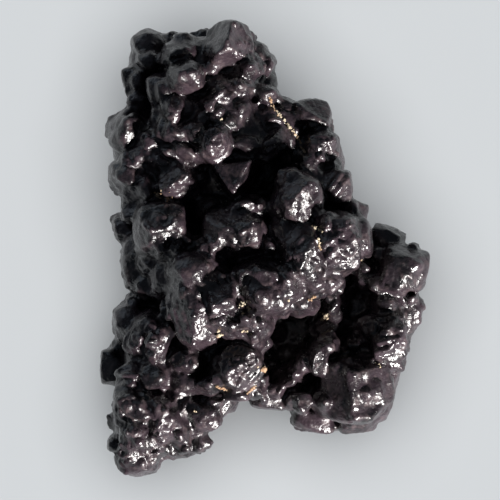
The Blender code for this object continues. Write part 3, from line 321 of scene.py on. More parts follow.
# Small bumps that catch the light: x, y.
glints = [
    (-5.2, 29.1), (-6.2, 27.4), (-2.5, 28.7), (-1.5, 28.7), (-1.9, 25.4), (0.8, 25.4), (-11.3, 27.4),
    (-9.6, 23.2), (-9.2, 24.5), (-8.4, 22.8), (-7.3, 20.1), (-5.8, 19.1), (-4.2, 17.8), (-2.7, 19.6),
    (-3.0, 14.6), (-1.7, 14.1), (-6.8, 13.3), (-5.6, 14.5), (-7.5, 14.0), (-10.0, 13.7), (-17.7, 18.0),
    (-18.9, 17.9), (-16.5, 15.7), (-16.9, 13.8), (-17.1, 12.9), (-15.9, 14.2), (-15.3, 12.4),
    (-13.4, 12.1), (-14.8, 8.6), (-11.4, 9.3), (-10.2, 10.2), (-12.7, 8.6), (-9.3, 11.7), (-3.0, 8.9),
    (-12.1, 4.0), (-10.2, -6.2), (-5.3, -4.1), (-4.5, -7.6), (-2.7, 2.2), (-3.5, 2.0), (0.6, 0.2),
    (1.2, 0.9), (0.9, -0.6), (2.8, 0.5), (2.2, 1.5), (5.6, -3.3), (7.5, -1.9), (13.3, 1.3), (12.5, -0.4),
    (10.7, -1.5), (12.1, -2.0), (11.5, -2.6), (9.3, 3.3), (12.2, 4.2), (14.7, 0.1), (-0.3, -6.3),
    (3.6, -4.5), (3.2, -2.9), (2.5, -6.3), (9.5, -4.4), (20.9, -0.9), (22.3, -2.6), (18.3, -1.2),
    (17.5, -5.2), (18.5, -5.3), (19.2, -5.6), (20.5, -3.8), (21.2, -4.2), (21.3, -7.0), (20.5, -9.5),
    (18.5, -10.0), (-10.6, -8.2), (-9.4, -9.5), (-4.8, -7.4), (-6.3, -10.0), (-5.0, -9.8), (-4.0, -10.9),
    (-9.4, -13.4), (-8.7, -15.0), (-9.5, -16.5), (-8.3, -16.2), (-9.2, -19.0), (-7.5, -19.3),
    (-18.3, -20.7), (-19.7, -21.5), (-18.6, -22.3), (-17.5, -22.2), (-16.4, -20.7), (-18.9, -26.0),
    (-17.7, -26.0), (-17.1, -27.6), (-15.6, -27.0), (-14.9, -26.6), (-14.0, -27.4), (-14.6, -22.3),
    (-13.3, -22.2), (-13.5, -23.1), (-11.7, -26.3), (-10.7, -27.3), (-10.8, -28.4), (-9.3, -28.9),
    (-8.7, -28.4), (-16.3, -29.0), (-15.2, -28.2), (-18.6, -30.4), (-19.6, -30.5), (-16.6, -30.6),
    (-15.8, -30.2), (-16.6, -31.4), (-9.4, -23.7), (-8.9, -22.2), (-7.6, -23.8), (-6.5, -23.0),
    (-7.2, -24.6), (-8.4, -24.6), (-3.5, -15.5), (-2.3, -16.7), (-3.6, -17.8), (-2.3, -18.3),
    (-1.2, -17.0), (-5.5, -16.2), (-5.5, -17.8), (-5.0, -14.8), (-2.2, -9.7), (0.3, -10.4), (-1.1, -12.3),
    (0.5, -21.3), (9.2, -21.8), (12.7, -24.8), (15.6, -24.0), (3.6, 19.5), (-14.5, -18.3), (-16.8, -18.3),
]

# Long edges that catch the light: from x, y to x, y.
ridges = [
    (-5.0, 32.5, -3.0, 31.3), (-3.0, 31.3, -1.4, 28.9), (-3.6, 27.0, -1.8, 26.4),
    (-12.7, 18.4, -11.5, 19.2), (-12.1, 16.3, -11.4, 15.4), (-6.3, 21.1, -5.1, 22.2),
    (-6.8, 18.2, -5.2, 17.1), (0.6, 14.4, 2.0, 15.0), (-19.2, 14.4, -17.7, 16.2),
    (-19.2, 11.5, -17.7, 11.8), (-16.5, 11.1, -17.0, 10.2), (-17.0, 10.2, -18.3, 9.3),
    (-18.3, 9.3, -18.2, 8.5), (-15.7, 7.5, -16.5, 6.6), (-13.8, 13.8, -11.8, 12.7),
    (-12.5, 15.0, -9.3, 12.9), (-7.6, 11.2, -5.0, 9.4), (-5.0, 9.4, -3.8, 8.0), (-14.5, 0.6, -12.8, 1.4),
    (-12.5, 0.0, -12.2, 1.0), (-12.2, 1.0, -11.2, 2.1), (-11.6, 0.0, -11.3, 0.6),
    (-11.0, 1.6, -10.2, 0.9), (-8.5, -5.3, -6.0, -3.5), (-6.7, 0.0, -6.8, -1.4), (-1.2, 3.7, -1.3, 2.0),
    (-1.3, 2.0, -2.0, 0.7), (-2.0, 0.7, -3.2, -0.2), (4.5, 0.0, 6.1, 1.5), (4.3, -1.3, 6.9, -0.2),
    (5.5, -2.7, 6.3, -1.2), (11.0, 2.0, 12.9, 3.1), (13.4, -1.0, 13.5, 1.2), (14.2, -0.8, 14.3, 1.2),
    (-0.1, -3.3, 1.2, -3.6), (1.2, -3.6, 1.5, -4.8), (1.5, -4.8, 2.1, -5.5), (-1.0, -7.5, 1.0, -8.3),
    (7.5, -5.6, 8.6, -5.0), (17.8, -0.3, 20.0, 0.2), (20.0, 0.2, 21.5, 0.6), (21.5, 0.6, 22.6, -0.9),
    (21.9, -8.4, 22.5, -9.1), (17.2, -11.9, 18.2, -11.5), (16.7, -13.3, 17.8, -12.9),
    (17.8, -12.9, 19.3, -12.6), (16.4, -14.7, 17.8, -14.3), (17.8, -14.3, 19.3, -13.3),
    (-18.2, -6.1, -19.6, -7.2), (-19.0, -7.5, -20.3, -7.9), (-20.3, -7.9, -21.2, -8.8),
    (-21.2, -8.8, -21.6, -10.0), (-13.0, -11.0, -12.9, -12.0), (-12.9, -12.0, -13.8, -13.5),
    (-13.8, -13.5, -14.2, -14.8), (-12.3, -15.7, -11.2, -14.7), (-11.8, -16.9, -10.5, -16.4),
    (-14.9, -25.9, -13.7, -23.7), (-13.2, -25.3, -12.0, -23.7), (-14.6, -29.0, -15.1, -30.1),
    (-14.0, -28.0, -12.4, -29.5), (-8.2, -21.5, -5.6, -21.0), (-2.0, -14.3, -0.9, -14.9),
    (-0.9, -14.9, -0.2, -16.2), (-4.3, -18.9, -3.0, -19.4), (-3.0, -19.4, -1.5, -18.7),
    (-1.5, -18.7, -0.4, -17.2), (1.5, -20.3, 3.5, -19.3), (3.5, -19.3, 4.6, -17.8),
    (4.6, -17.8, 5.3, -16.5), (5.3, -16.5, 6.3, -15.6), (5.7, -19.3, 5.2, -20.5),
    (5.2, -20.5, 5.2, -22.0), (5.2, -22.0, 6.2, -23.2), (10.5, -17.0, 12.0, -15.8),
    (12.0, -15.8, 13.3, -15.7), (13.3, -15.7, 14.6, -16.8), (14.6, -16.8, 15.0, -18.0),
    (12.3, -17.0, 12.5, -19.0), (12.5, -19.0, 13.0, -21.0), (13.0, -21.0, 12.9, -23.5),
    (13.3, -24.0, 14.0, -23.8), (14.0, -23.8, 15.5, -23.9), (15.5, -23.9, 16.2, -23.3),
    (16.2, -23.3, 17.4, -21.8), (5.1, 20.3, 9.4, 17.2), (5.1, 16.7, 9.1, 17.7), (9.6, 8.1, 11.4, 10.4),
    (10.3, 7.4, 12.2, 9.7),
]

# Wrinkles on the roughest lumps: from x, y to x, y.
wrinkles = [
    (-5.0, -14.6, -4.0, -13.9), (-4.0, -13.9, -2.6, -13.9), (-5.6, -16.4, -4.6, -15.4),
    (-4.6, -17.6, -4.2, -16.2), (-3.2, -16.6, -2.2, -15.9), (-3.0, -18.2, -1.8, -17.4),
    (-1.6, -16.4, -1.0, -15.6), (9.0, 0.4, 10.2, 1.2), (9.4, -1.4, 10.0, -0.4), (11.4, 0.6, 12.4, 0.2),
    (3.2, 6.9, 3.9, 5.4), (-16.2, 3.2, -15.2, 2.4), (-14.6, 4.6, -13.2, 4.2), (-7.6, 1.6, -6.8, 0.6),
    (-5.6, 3.4, -4.6, 2.6), (-4.2, 1.4, -3.6, 0.6), (7.4, 14.6, 8.4, 14.2), (8.4, 12.8, 9.2, 12.4),
    (9.6, 14.8, 10.0, 13.6),
]

# Narrow clefts: from x, y to x, y.
grooves = [
    (7.6, 1.6, 8.1, -0.3), (8.1, -0.3, 9.0, -1.8), (9.5, 2.0, 12.8, 3.2), (20.5, -4.0, 21.5, -6.2),
    (-19.6, -18.4, -18.0, -18.3), (-20.3, -22.5, -19.0, -24.0), (-19.0, -24.0, -17.0, -24.4),
    (16.6, -12.4, 19.0, -12.1), (17.0, -13.7, 18.6, -13.5), (1.0, 21.5, 3.5, 17.9), (3.5, 17.9, 6.1, 13.6),
]

# Knobs with a dimple in the middle: x, y, how far out the rim is.
rings = [
    (-6.8, 15.7, 1.1), (-12.2, 20.5, 0.8), (15.3, -10.9, 0.8), (-19.7, -28.4, 0.9), (-1.7, -15.4, 0.8),
]


def clearSelection():
    bpy.ops.object.select_all(action="DESELECT")


def pick(thing):
    clearSelection()
    thing.select_set(True)
    bpy.context.view_layer.objects.active = thing


def applyAll(thing):
    pick(thing)
    for name in [modifier.name for modifier in thing.modifiers]:
        bpy.ops.object.modifier_apply(modifier=name)


def towards(compass, up):
    around, rise = math.radians(compass), math.radians(up)
    return Vector((math.cos(rise) * math.cos(around), math.cos(rise) * math.sin(around), math.sin(rise)))


def randomWay(dice):
    up = dice.uniform(-1, 1)
    around = dice.uniform(0, 2 * math.pi)
    out = math.sqrt(1 - up * up)
    return Vector((out * math.cos(around), out * math.sin(around), up))


def cutFlat(thing, way, reach):
    # cuts a flat: everything further out than reach along way goes, and the cut is closed
    pick(thing)
    furthest = max(vert.co.dot(way) for vert in thing.data.vertices)
    bpy.ops.object.mode_set(mode="EDIT")
    bpy.ops.mesh.select_all(action="SELECT")
    bpy.ops.mesh.bisect(plane_co=way * furthest * reach, plane_no=way, use_fill=True, clear_outer=True)
    bpy.ops.object.mode_set(mode="OBJECT")


def wornStone(name, square, flats, cell):
    # a ball swelled towards a box, sliced by its flats, then worn round where they meet
    clearSelection()
    bpy.ops.mesh.primitive_ico_sphere_add(subdivisions=knobs["masterFine"], radius=1)
    stone = bpy.context.object
    stone.name = name
    cast = stone.modifiers.new("towards a box", "CAST")
    cast.cast_type = "CUBOID"
    least, most, slope = knobs["cast"]
    cast.factor = min(most, max(least, (square - 2) * slope))
    applyAll(stone)
    for way, reach in flats:
        cutFlat(stone, way, reach)
    worn = stone.modifiers.new("worn", "REMESH")
    worn.mode = "VOXEL"
    worn.voxel_size = cell
    soft = stone.modifiers.new("soft", "SMOOTH")
    soft.factor = nodule["smoothing"]
    soft.iterations = knobs["masterRounds"]
    thin = stone.modifiers.new("thin", "DECIMATE")
    thin.ratio = knobs["masterKept"]
    applyAll(stone)
    low = Vector([min(vert.co[axis] for vert in stone.data.vertices) for axis in range(3)])
    high = Vector([max(vert.co[axis] for vert in stone.data.vertices) for axis in range(3)])
    fill = Matrix.Diagonal([2 / (high[axis] - low[axis]) for axis in range(3)] + [1])
    stone.data.transform(fill @ Matrix.Translation(-(low + high) / 2))
    return stone


def copyTo(master, name, spot, size, turn, tilt):
    copy = bpy.data.objects.new(name, master.data.copy())
    bpy.context.scene.collection.objects.link(copy)
    spin = Euler([math.radians(angle) for angle in (tilt[0], tilt[1], turn)]).to_matrix().to_4x4()
    grow = Matrix.Diagonal([side / 2 * mm for side in size] + [1])
    copy.data.transform(Matrix.Translation(Vector(spot) * mm) @ spin @ grow)
    return copy


def joinAll(things, name):
    clearSelection()
    for thing in things:
        thing.select_set(True)
    bpy.context.view_layer.objects.active = things[0]
    bpy.ops.object.join()
    things[0].name = name
    return things[0]


def trianglesOf(thing):
    return sum(len(face.vertices) - 2 for face in thing.data.polygons)


# The body under the lumps
body = bpy.data.objects.new("body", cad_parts["carbonado"].data.copy())
bpy.context.scene.collection.objects.link(body)
body.data.materials.clear()
pick(body)
bpy.ops.object.mode_set(mode="EDIT")
bpy.ops.mesh.select_all(action="SELECT")
bpy.ops.mesh.remove_doubles(threshold=nodule["weld"] * mm)
bpy.ops.mesh.normals_make_consistent(inside=False)
bpy.ops.object.mode_set(mode="OBJECT")
whole = body.modifiers.new("whole", "REMESH")
whole.mode = "VOXEL"
whole.voxel_size = nodule["coreCell"] * mm
calm = body.modifiers.new("calm", "SMOOTH")
calm.factor = nodule["smoothing"]
calm.iterations = nodule["bodyRounds"]
applyAll(body)
spots = np.empty(len(body.data.vertices) * 3)
body.data.vertices.foreach_get("co", spots)
spots = spots.reshape(-1, 3)
outward = np.array([vert.normal for vert in body.data.vertices])
share = np.clip((spots[:, 2] / mm - nodule["sinkFrom"]) / (nodule["sinkFull"] - nodule["sinkFrom"]), 0, 1)
bodySkin = BVHTree.FromObject(body, bpy.context.evaluated_depsgraph_get())
sunk = spots - outward * share[:, None] * nodule["coreSink"] * mm
body.data.vertices.foreach_set("co", sunk.ravel())
body.data.update()
print("body", len(body.data.polygons), "faces")

# The worn stones that lumps and knobs are copied from
dice = random.Random(knobs["seed"])
masters = []
for number in range(knobs["masters"]):
    flats = [(randomWay(dice), dice.uniform(*knobs["flatReach"])) for count in range(knobs["masterFlats"])]
    square = knobs["squares"][number % len(knobs["squares"])]
    masters.append(wornStone(f"master{number}", square, flats, knobs["masterCell"]))
print("masters", [trianglesOf(master) for master in masters])


def hangsInside(x, y, wide, high):
    # whether an oval of this size lies inside the solid's outline, seen from above
    for step in range(nodule["outlineSteps"]):
        around = step * 2 * math.pi / nodule["outlineSteps"]
        beside = (x + math.cos(around) * wide / 2, y + math.sin(around) * high / 2)
        spot = Vector((*beside, nodule["above"])) * mm
        if bodySkin.ray_cast(spot, Vector((0, 0, -1)))[0] is None:
            return False
    return True


def keptIn(middle, across, axis):
    # the middle, moved in so far that what is this wide keeps inside the solid's box
    least = lowest[axis] / mm + nodule["edgeGap"] + across / 2
    most = highest[axis] / mm - nodule["edgeGap"] - across / 2
    return min(max(middle, least), most)


# The mass between the lumps
lowest, highest = cadBox
shiftX, shiftY = nodule["shift"]
mound = wornStone("mound", nodule["fillingSquare"], [], knobs["masterCell"])
fillings = []
for x, y, wide, tall, top in filling:
    deep = nodule["fillingDeep"]
    narrow = nodule["fillingNarrow"]
    spot = (x + shiftX, y + shiftY, top - nodule["fillingDrop"] - deep / 2)
    fillings.append(copyTo(mound, "filling", spot, (wide * narrow, tall * narrow, deep), 0, (0, 0)))
bpy.data.objects.remove(mound)

# Lumps that show
dice = random.Random(nodule["seed"])
pieces = [body] + fillings
lean = nodule["lean"]
lumps = []
for rows in (crown, neck, leftFlank, rightShoulder, middle, rightLobe, leftLeg):
    for x, y, top, wide, tall, deep, turn, square in rows:
        grow = nodule["spread"]
        own = random.Random(f"{x} {y} {nodule['seed']}")
        master = masters[own.randrange(len(masters))]
        wider = nodule["skirtWider"]
        inside = hangsInside(x, y, wide * grow + wider, tall * grow + wider)
        leaning = lean
        if not inside:
            grow = 1
            leaning = nodule["edgeLean"]
        tilt = (own.uniform(-leaning, leaning), own.uniform(-leaning, leaning))
        size = (wide * grow, tall * grow, deep)
        spot = (keptIn(x + shiftX, size[0], 0), keptIn(y + shiftY, size[1], 1), top - deep / 2)
        pieces.append(copyTo(master, "lump", spot, size, turn, tilt))
        lumps.append((spot, size, turn))
        if not inside:
            continue
        under = (spot[0], spot[1], spot[2] - nodule["skirtDrop"])
        pieces.append(copyTo(master, "skirt", under, (size[0] + wider, size[1] + wider, deep), turn, (0, 0)))
for x, y, top, wide, tall, deep, square, flats in blocks:
    cuts = [(towards(compass, up), reach) for compass, up, reach in flats]
    stone = wornStone("block", square, cuts, knobs["masterCell"])
    spot = (x + shiftX, y + shiftY, top - deep / 2)
    pieces.append(copyTo(stone, "blockInPlace", spot, (wide, tall, deep), 0, (0, 0)))
    bpy.data.objects.remove(stone)
    lumps.append((spot, (wide, tall, deep), 0))
print("lumps", len(lumps))

# Small knobs on the lumps
few, many = knobs["onLumps"]
upShare, upMore = knobs["onLumpUp"]
leaning = knobs["onLumpLean"]
joined = len(pieces)
for spot, size, turn in lumps:
    across = (size[0] + size[1]) / 2
    if across < knobs["bigLump"]:
        continue
    own = random.Random(f"{spot} knobs")
    for count in range(own.randint(few, many)):
        way = randomWay(own)
        way.z = abs(way.z) * upShare + upMore
        way.normalize()
        small = across * own.uniform(*knobs["onLumpSize"])
        spin = Euler((0, 0, math.radians(turn))).to_matrix()
        off = Vector([side * part / 2 for side, part in zip(size, way)])
        place = Vector(spot) + spin @ off * knobs["onLumpReach"]
        slim = knobs["onLumpSlim"]
        dims = (small, small * own.uniform(*slim), small * own.uniform(*slim))
        tilt = (own.uniform(-leaning, leaning), own.uniform(-leaning, leaning))
        master = masters[own.randrange(len(masters))]
        smooth = any(math.hypot(place.x - x, place.y - y) < reach for x, y, reach in smoothPlaces)
        if hangsInside(place.x, place.y, small, small) and not smooth:
            pieces.append(copyTo(master, "knob", place, dims, own.uniform(0, 360), tilt))

# Small knobs on the sides and the back
backFaces = [
    face
    for face in body.data.polygons
    if face.center.z < knobs["backBelow"] * mm
    or (face.center.z < knobs["sideBelow"] * mm and face.normal.z < knobs["sideUp"])
]
dice.shuffle(backFaces)
taken = []
cells = {}
spacing = knobs["backSpacing"] * mm
for face in backFaces:
    key = tuple(int(side // spacing) for side in face.center)
    near = [
        other
        for dx in (-1, 0, 1)
        for dy in (-1, 0, 1)
        for dz in (-1, 0, 1)
        for other in cells.get((key[0] + dx, key[1] + dy, key[2] + dz), [])
    ]
    if any((other - face.center).length < spacing for other in near):
        continue
    cells.setdefault(key, []).append(face.center.copy())
    taken.append((face.center.copy(), face.normal.copy()))
leaning = knobs["backLean"]
slim = knobs["backSlim"]
for center, normal in taken:
    small = dice.uniform(*knobs["backSize"])
    place = center / mm - normal * small * knobs["backSunk"]
    if place.z - small / 2 < knobs["floorGap"]:
        continue
    dims = (small, small * dice.uniform(*slim), small * dice.uniform(*slim))
    tilt = (dice.uniform(-leaning, leaning), dice.uniform(-leaning, leaning))
    master = masters[dice.randrange(len(masters))]
    pieces.append(copyTo(master, "backKnob", place, dims, dice.uniform(0, 360), tilt))
print("small knobs", len(pieces) - joined, "of", len(pieces), "shapes")

# One skin over all of it
skin = joinAll(pieces, "noduleSkin")
for master in masters:
    bpy.data.objects.remove(master)
oneSkin = skin.modifiers.new("one skin", "REMESH")
oneSkin.mode = "VOXEL"
oneSkin.voxel_size = nodule["skinCell"] * mm
settle = skin.modifiers.new("settle", "SMOOTH")
settle.factor = nodule["smoothing"]
settle.iterations = nodule["skinRounds"]
applyAll(skin)
print("skin", trianglesOf(skin), "triangles")


def between(low, high, value):
    share = min(1, max(0, (value - low) / (high - low)))
    return share * share * (3 - 2 * share)


def placeShare(spot, places):
    # how much of a marked place a point lies in, from 0 to 1
    most = 0
    for x, y, reach in places:
        gap = math.hypot(spot.x / mm - x - shiftX, spot.y / mm - y - shiftY)
        most = max(most, 1 - between(relief["placeCore"] * reach, reach, gap))
    return most


# Swellings, dimples and grit, moved along each point's own normal
warp = relief["warp"] * mm
cobble, cobbleHeight = relief["cobble"]
dimple, dimpleDepth = relief["dimple"]
grit, gritHeight = relief["grit"]
creaseWide, creaseDrop = relief["crease"]
quietFrom, quietTo, quietLeast = relief["quiet"]
noise.seed_set(relief["warpSeed"])
moved = []
for vert in skin.data.vertices:
    spot = vert.co
    pulled = spot + noise.noise_vector(spot / (relief["warpCell"] * mm)) * warp
    first, second = noise.voronoi(pulled / (cobble * mm))[0][:2]
    high = (between(0, creaseWide, math.sqrt(second) - math.sqrt(first)) - creaseDrop) * cobbleHeight
    first = noise.voronoi(pulled / (dimple * mm))[0][0]
    deep = (1 - between(0, relief["dimpleEdge"], math.sqrt(first))) * dimpleDepth
    fine = noise.noise(spot / (grit * mm)) * gritHeight
    slow = noise.noise(spot / (relief["quietCell"] * mm))
    amount = quietLeast + (1 - quietLeast) * between(quietFrom, quietTo, slow)
    if vert.normal.z > 0:
        amount += (relief["calm"] - amount) * placeShare(spot, smoothPlaces)
        amount += (relief["rough"] - amount) * placeShare(spot, roughPlaces)
    moved.append(spot + vert.normal * (high * min(1, amount) - deep * amount + fine * amount) * mm)
for vert, spot in zip(skin.data.vertices, moved):
    vert.co = spot

# Bumps, edges, clefts and ringed knobs where the photograph has them, on what faces up
count = len(skin.data.vertices)
spots = np.empty(count * 3)
outward = np.empty(count * 3)
skin.data.vertices.foreach_get("co", spots)
skin.data.vertices.foreach_get("normal", outward)
spots = spots.reshape(-1, 3)
outward = outward.reshape(-1, 3)
upward = np.flatnonzero(outward[:, 2] > relief["facesUp"])
flatSpots = spots[upward, :2] / mm - np.array(nodule["shift"])
rise = np.zeros(len(upward))
flatness = np.clip((outward[upward, 2] - relief["flatFrom"]) / relief["flatOver"], 0, 1)


def lineShare(x0, y0, x1, y1, wide):
    # 1 on the line, falling to 0 at wide from it
    along = np.array([x1 - x0, y1 - y0])
    off = flatSpots - np.array([x0, y0])
    part = np.clip(off @ along / max(along @ along, 1e-9), 0, 1)
    gap = np.hypot(off[:, 0] - part * along[0], off[:, 1] - part * along[1])
    return np.clip(1 - (gap / wide) ** 2, 0, None) ** 2


offX, offY = relief["glintOff"]
wide, high = relief["glint"]
longest = relief["glintLong"]
for x, y in glints:
    part = dice.uniform(*relief["glintSizes"])
    x, y = x + offX, y + offY
    share = lineShare(x, y, x + dice.uniform(-longest, longest), y + relief["glintRise"], wide * part)
    rise = np.maximum(rise, share * high * part)
wide, high = relief["ridge"]
for x0, y0, x1, y1 in ridges + wrinkles:
    rise = np.maximum(rise, lineShare(x0 + offX, y0 + offY, x1 + offX, y1 + offY, wide) * high)
wide, deep = relief["groove"]
for x0, y0, x1, y1 in grooves:
    rise -= lineShare(x0, y0, x1, y1, wide) * deep
wide, high = relief["ring"]
for x, y, out in rings:
    gap = np.hypot(flatSpots[:, 0] - x, flatSpots[:, 1] - y)
    rise += np.clip(1 - ((gap - out) / wide) ** 2, 0, None) ** 2 * high
    rise -= np.clip(1 - (gap / out) ** 2, 0, None) * high * relief["ringHollow"]
spots[upward] += outward[upward] * (rise * flatness * mm)[:, None]
skin.data.vertices.foreach_set("co", spots.ravel())
skin.data.update()
print("relief")
if trianglesOf(skin) > nodule["mostTriangles"]:
    thin = skin.modifiers.new("thin", "DECIMATE")
    thin.ratio = nodule["mostTriangles"] / trianglesOf(skin)
    applyAll(skin)

# Kept inside the solid's box, flat on the floor
for vert in skin.data.vertices:
    for axis in range(3):
        vert.co[axis] = min(max(vert.co[axis], lowest[axis]), highest[axis])
for face in skin.data.polygons:
    face.use_smooth = True
print("finished skin", trianglesOf(skin), "triangles")

glaze = {
    "dark": (0.0042, 0.0034, 0.0044, 1),
    "brown": (0.025, 0.0170, 0.0215, 1),
    "worn": (0.062, 0.042, 0.045, 1),   # the paler bits in between
    "wornShare": 0.5,
    "rough": (0.20, 0.42),
    "ior": 1.55,
    "patch": (260, 5),     # how often the brown comes and goes, per metre, and in how many finer steps
    "speck": (900, 4),     # how often the paler bits do
    "grain": (2000, 3),    # the fine unevenness of the glaze
    "brownFrom": (0.35, 0.65),
    "wornFrom": (0.52, 0.70),
    "roughFrom": (0.3, 0.7),
    "grainHeight": 0.00018,
    "grainStrength": 0.85,
}


def addNoise(nodes, links, spot, scale, detail):
    pattern = nodes.new("ShaderNodeTexNoise")
    pattern.inputs["Scale"].default_value = scale
    pattern.inputs["Detail"].default_value = detail
    links.new(spot.outputs["Object"], pattern.inputs["Vector"])
    return pattern.outputs["Fac"]


def addRange(nodes, links, source, fromLow, fromHigh, toLow, toHigh):
    change = nodes.new("ShaderNodeMapRange")
    change.inputs["From Min"].default_value = fromLow
    change.inputs["From Max"].default_value = fromHigh
    change.inputs["To Min"].default_value = toLow
    change.inputs["To Max"].default_value = toHigh
    links.new(source, change.inputs["Value"])
    return change.outputs["Result"]


def addMix(nodes, links, share, first, second):
    # first and second are each a colour or another node's output
    tint = nodes.new("ShaderNodeMix")
    tint.data_type = "RGBA"
    links.new(share, tint.inputs["Factor"])
    for name, value in (("A", first), ("B", second)):
        if isinstance(value, tuple):
            tint.inputs[name].default_value = value
        else:
            links.new(value, tint.inputs[name])
    return tint.outputs["Result"]


def blackGlaze():
    made = bpy.data.materials.new("blackGlaze")
    made.use_nodes = True
    nodes, links = made.node_tree.nodes, made.node_tree.links
    shader = nodes["Principled BSDF"]
    shader.inputs["IOR"].default_value = glaze["ior"]
    spot = nodes.new("ShaderNodeTexCoord")
    patch = addNoise(nodes, links, spot, *glaze["patch"])
    speck = addNoise(nodes, links, spot, *glaze["speck"])
    fine = addNoise(nodes, links, spot, *glaze["grain"])
    brownShare = addRange(nodes, links, patch, *glaze["brownFrom"], 0, 1)
    base = addMix(nodes, links, brownShare, glaze["dark"], glaze["brown"])
    wornShare = addRange(nodes, links, speck, *glaze["wornFrom"], 0, glaze["wornShare"])
    links.new(addMix(nodes, links, wornShare, base, glaze["worn"]), shader.inputs["Base Color"])
    gloss = addRange(nodes, links, speck, *glaze["roughFrom"], *glaze["rough"])
    links.new(gloss, shader.inputs["Roughness"])
    bump = nodes.new("ShaderNodeBump")
    bump.inputs["Distance"].default_value = glaze["grainHeight"]
    bump.inputs["Strength"].default_value = glaze["grainStrength"]
    links.new(fine, bump.inputs["Height"])
    links.new(bump.outputs["Normal"], shader.inputs["Normal"])
    return made


skin.data.materials.append(blackGlaze())
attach(skin, "root")
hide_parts("carbonado")

infill = {
    "size": (0.20, 0.48),       # the grains' sizes
    "every": 0.10,              # how closely they follow each other along a line
    "jitter": 0.12,
    "scatter": 0.6,             # the spread of a cluster's grains, against its reach
    "sunk": 0.3,                # how much of a grain lies under the surface
    "slim": (0.6, 1),           # a grain's second and third side against its first
    "flat": (0.5, 0.9),
    "lean": 50,
    "ballFine": 2,              # how finely the ball is divided that it is cut from
    "cuts": 5,                  # flats on the grain that all are copied from, and how far out they lie
    "cutReach": (0.55, 0.8),
    "kept": 0.35,               # the share of its triangles that is kept
    "rough": 0.8,
    "rust": (300, 2),           # how often rust comes, per metre, and in how many finer steps
    "rustFrom": (0.42, 0.60),
    "cream": (5000, 3),
    "creamFrom": (0.35, 0.65),
    "tints": [(0.30, 0.24, 0.16, 1), (0.42, 0.37, 0.28, 1), (0.23, 0.14, 0.08, 1)],
    "seed": 3,
}

# Lines of grains in the crevices: x, y, x, y and so on.
grainLines = [
    (1.0, 21.5, 1.5, 20.1, 3.5, 17.9, 4.9, 16.2, 5.6, 14.5, 6.1, 13.6), (-6.4, -19.2, -4.8, -19.8),
    (-2.2, -20.3, -0.9, -19.0), (7.8, 1.5, 8.1, 0.0), (-2.8, -11.3, -2.1, -11.2), (6.6, -7.0, 7.6, -6.4),
    (7.1, 3.3, 8.6, 2.5), (8.5, -9.9, 9.4, -9.3), (8.8, -10.1, 9.1, -9.1),
]

# Clusters: x, y, how far round, how many.
grainClusters = [
    (-14.6, 7.9, 0.55, 12), (-13.1, 7.2, 0.45, 8), (-2.8, -7.6, 0.4, 7), (-6.0, -11.9, 0.45, 10),
    (0.1, -16.8, 0.45, 14), (9.0, -9.6, 0.6, 12), (3.6, -6.9, 0.25, 4), (14.1, -1.5, 0.3, 4),
    (16.5, -16.2, 0.35, 5), (-5.8, 18.2, 0.2, 3), (-9.4, -22.9, 0.3, 4), (2.4, 18.9, 0.3, 5),
]

# Larger single grains: x, y, size.
bigGrains = [
    (0.1, -16.8, 1.15), (-6.0, -11.9, 0.85), (-2.9, -7.6, 0.75), (-14.5, 7.9, 0.85), (-13.2, 7.2, 0.70),
    (9.0, -9.6, 0.60), (7.3, 3.0, 0.55), (-5.4, -19.5, 0.60), (14.1, -1.5, 0.40), (-1.6, -19.7, 0.50),
]

clearSelection()
bpy.ops.mesh.primitive_ico_sphere_add(subdivisions=infill["ballFine"], radius=1)
grain = bpy.context.object
grain.name = "grain"
dice = random.Random(infill["seed"])
for count in range(infill["cuts"]):
    cutFlat(grain, randomWay(dice), dice.uniform(*infill["cutReach"]))
thin = grain.modifiers.new("thin", "DECIMATE")
thin.ratio = infill["kept"]
applyAll(grain)
skinTree = BVHTree.FromObject(skin, bpy.context.evaluated_depsgraph_get())
places = []
for line in grainLines:
    for index in range(0, len(line) - 2, 2):
        start, end = Vector(line[index:index + 2]), Vector(line[index + 2:index + 4])
        for step in range(int((end - start).length / infill["every"])):
            spot = start.lerp(end, step * infill["every"] / (end - start).length)
            places.append((spot, infill["jitter"], infill["size"]))
for x, y, reach, many in grainClusters:
    places += [(Vector((x, y)), reach, infill["size"])] * many
for x, y, size in bigGrains:
    places.append((Vector((x, y)), 0.0, (size, size)))
bits = []
leaning = infill["lean"]
for place, reach, sizes in places:
    x = place.x + shiftX + dice.gauss(0, reach * infill["scatter"])
    y = place.y + shiftY + dice.gauss(0, reach * infill["scatter"])
    size = dice.uniform(*sizes)
    over = Vector((x * mm, y * mm, nodule["above"] * mm))
    hit, normal = skinTree.ray_cast(over, Vector((0, 0, -1)))[:2]
    if hit is None:
        continue
    spot = hit / mm + normal * size * (0.5 - infill["sunk"])
    dims = (size, size * dice.uniform(*infill["slim"]), size * dice.uniform(*infill["flat"]))
    tilt = (dice.uniform(-leaning, leaning), dice.uniform(-leaning, leaning))
    bits.append(copyTo(grain, "bit", spot, dims, dice.uniform(0, 360), tilt))
bpy.data.objects.remove(grain)
grains = joinAll(bits, "tanGrains")


def tanInfill():
    made = bpy.data.materials.new("tanInfill")
    made.use_nodes = True
    nodes, links = made.node_tree.nodes, made.node_tree.links
    shader = nodes["Principled BSDF"]
    shader.inputs["Roughness"].default_value = infill["rough"]
    spot = nodes.new("ShaderNodeTexCoord")
    rustNoise = addNoise(nodes, links, spot, *infill["rust"])
    rustShare = addRange(nodes, links, rustNoise, *infill["rustFrom"], 0, 1)
    creamNoise = addNoise(nodes, links, spot, *infill["cream"])
    creamShare = addRange(nodes, links, creamNoise, *infill["creamFrom"], 0, 1)
    tan, cream, rust = infill["tints"]
    pale = addMix(nodes, links, creamShare, tan, cream)
    links.new(addMix(nodes, links, rustShare, pale, rust), shader.inputs["Base Color"])
    return made


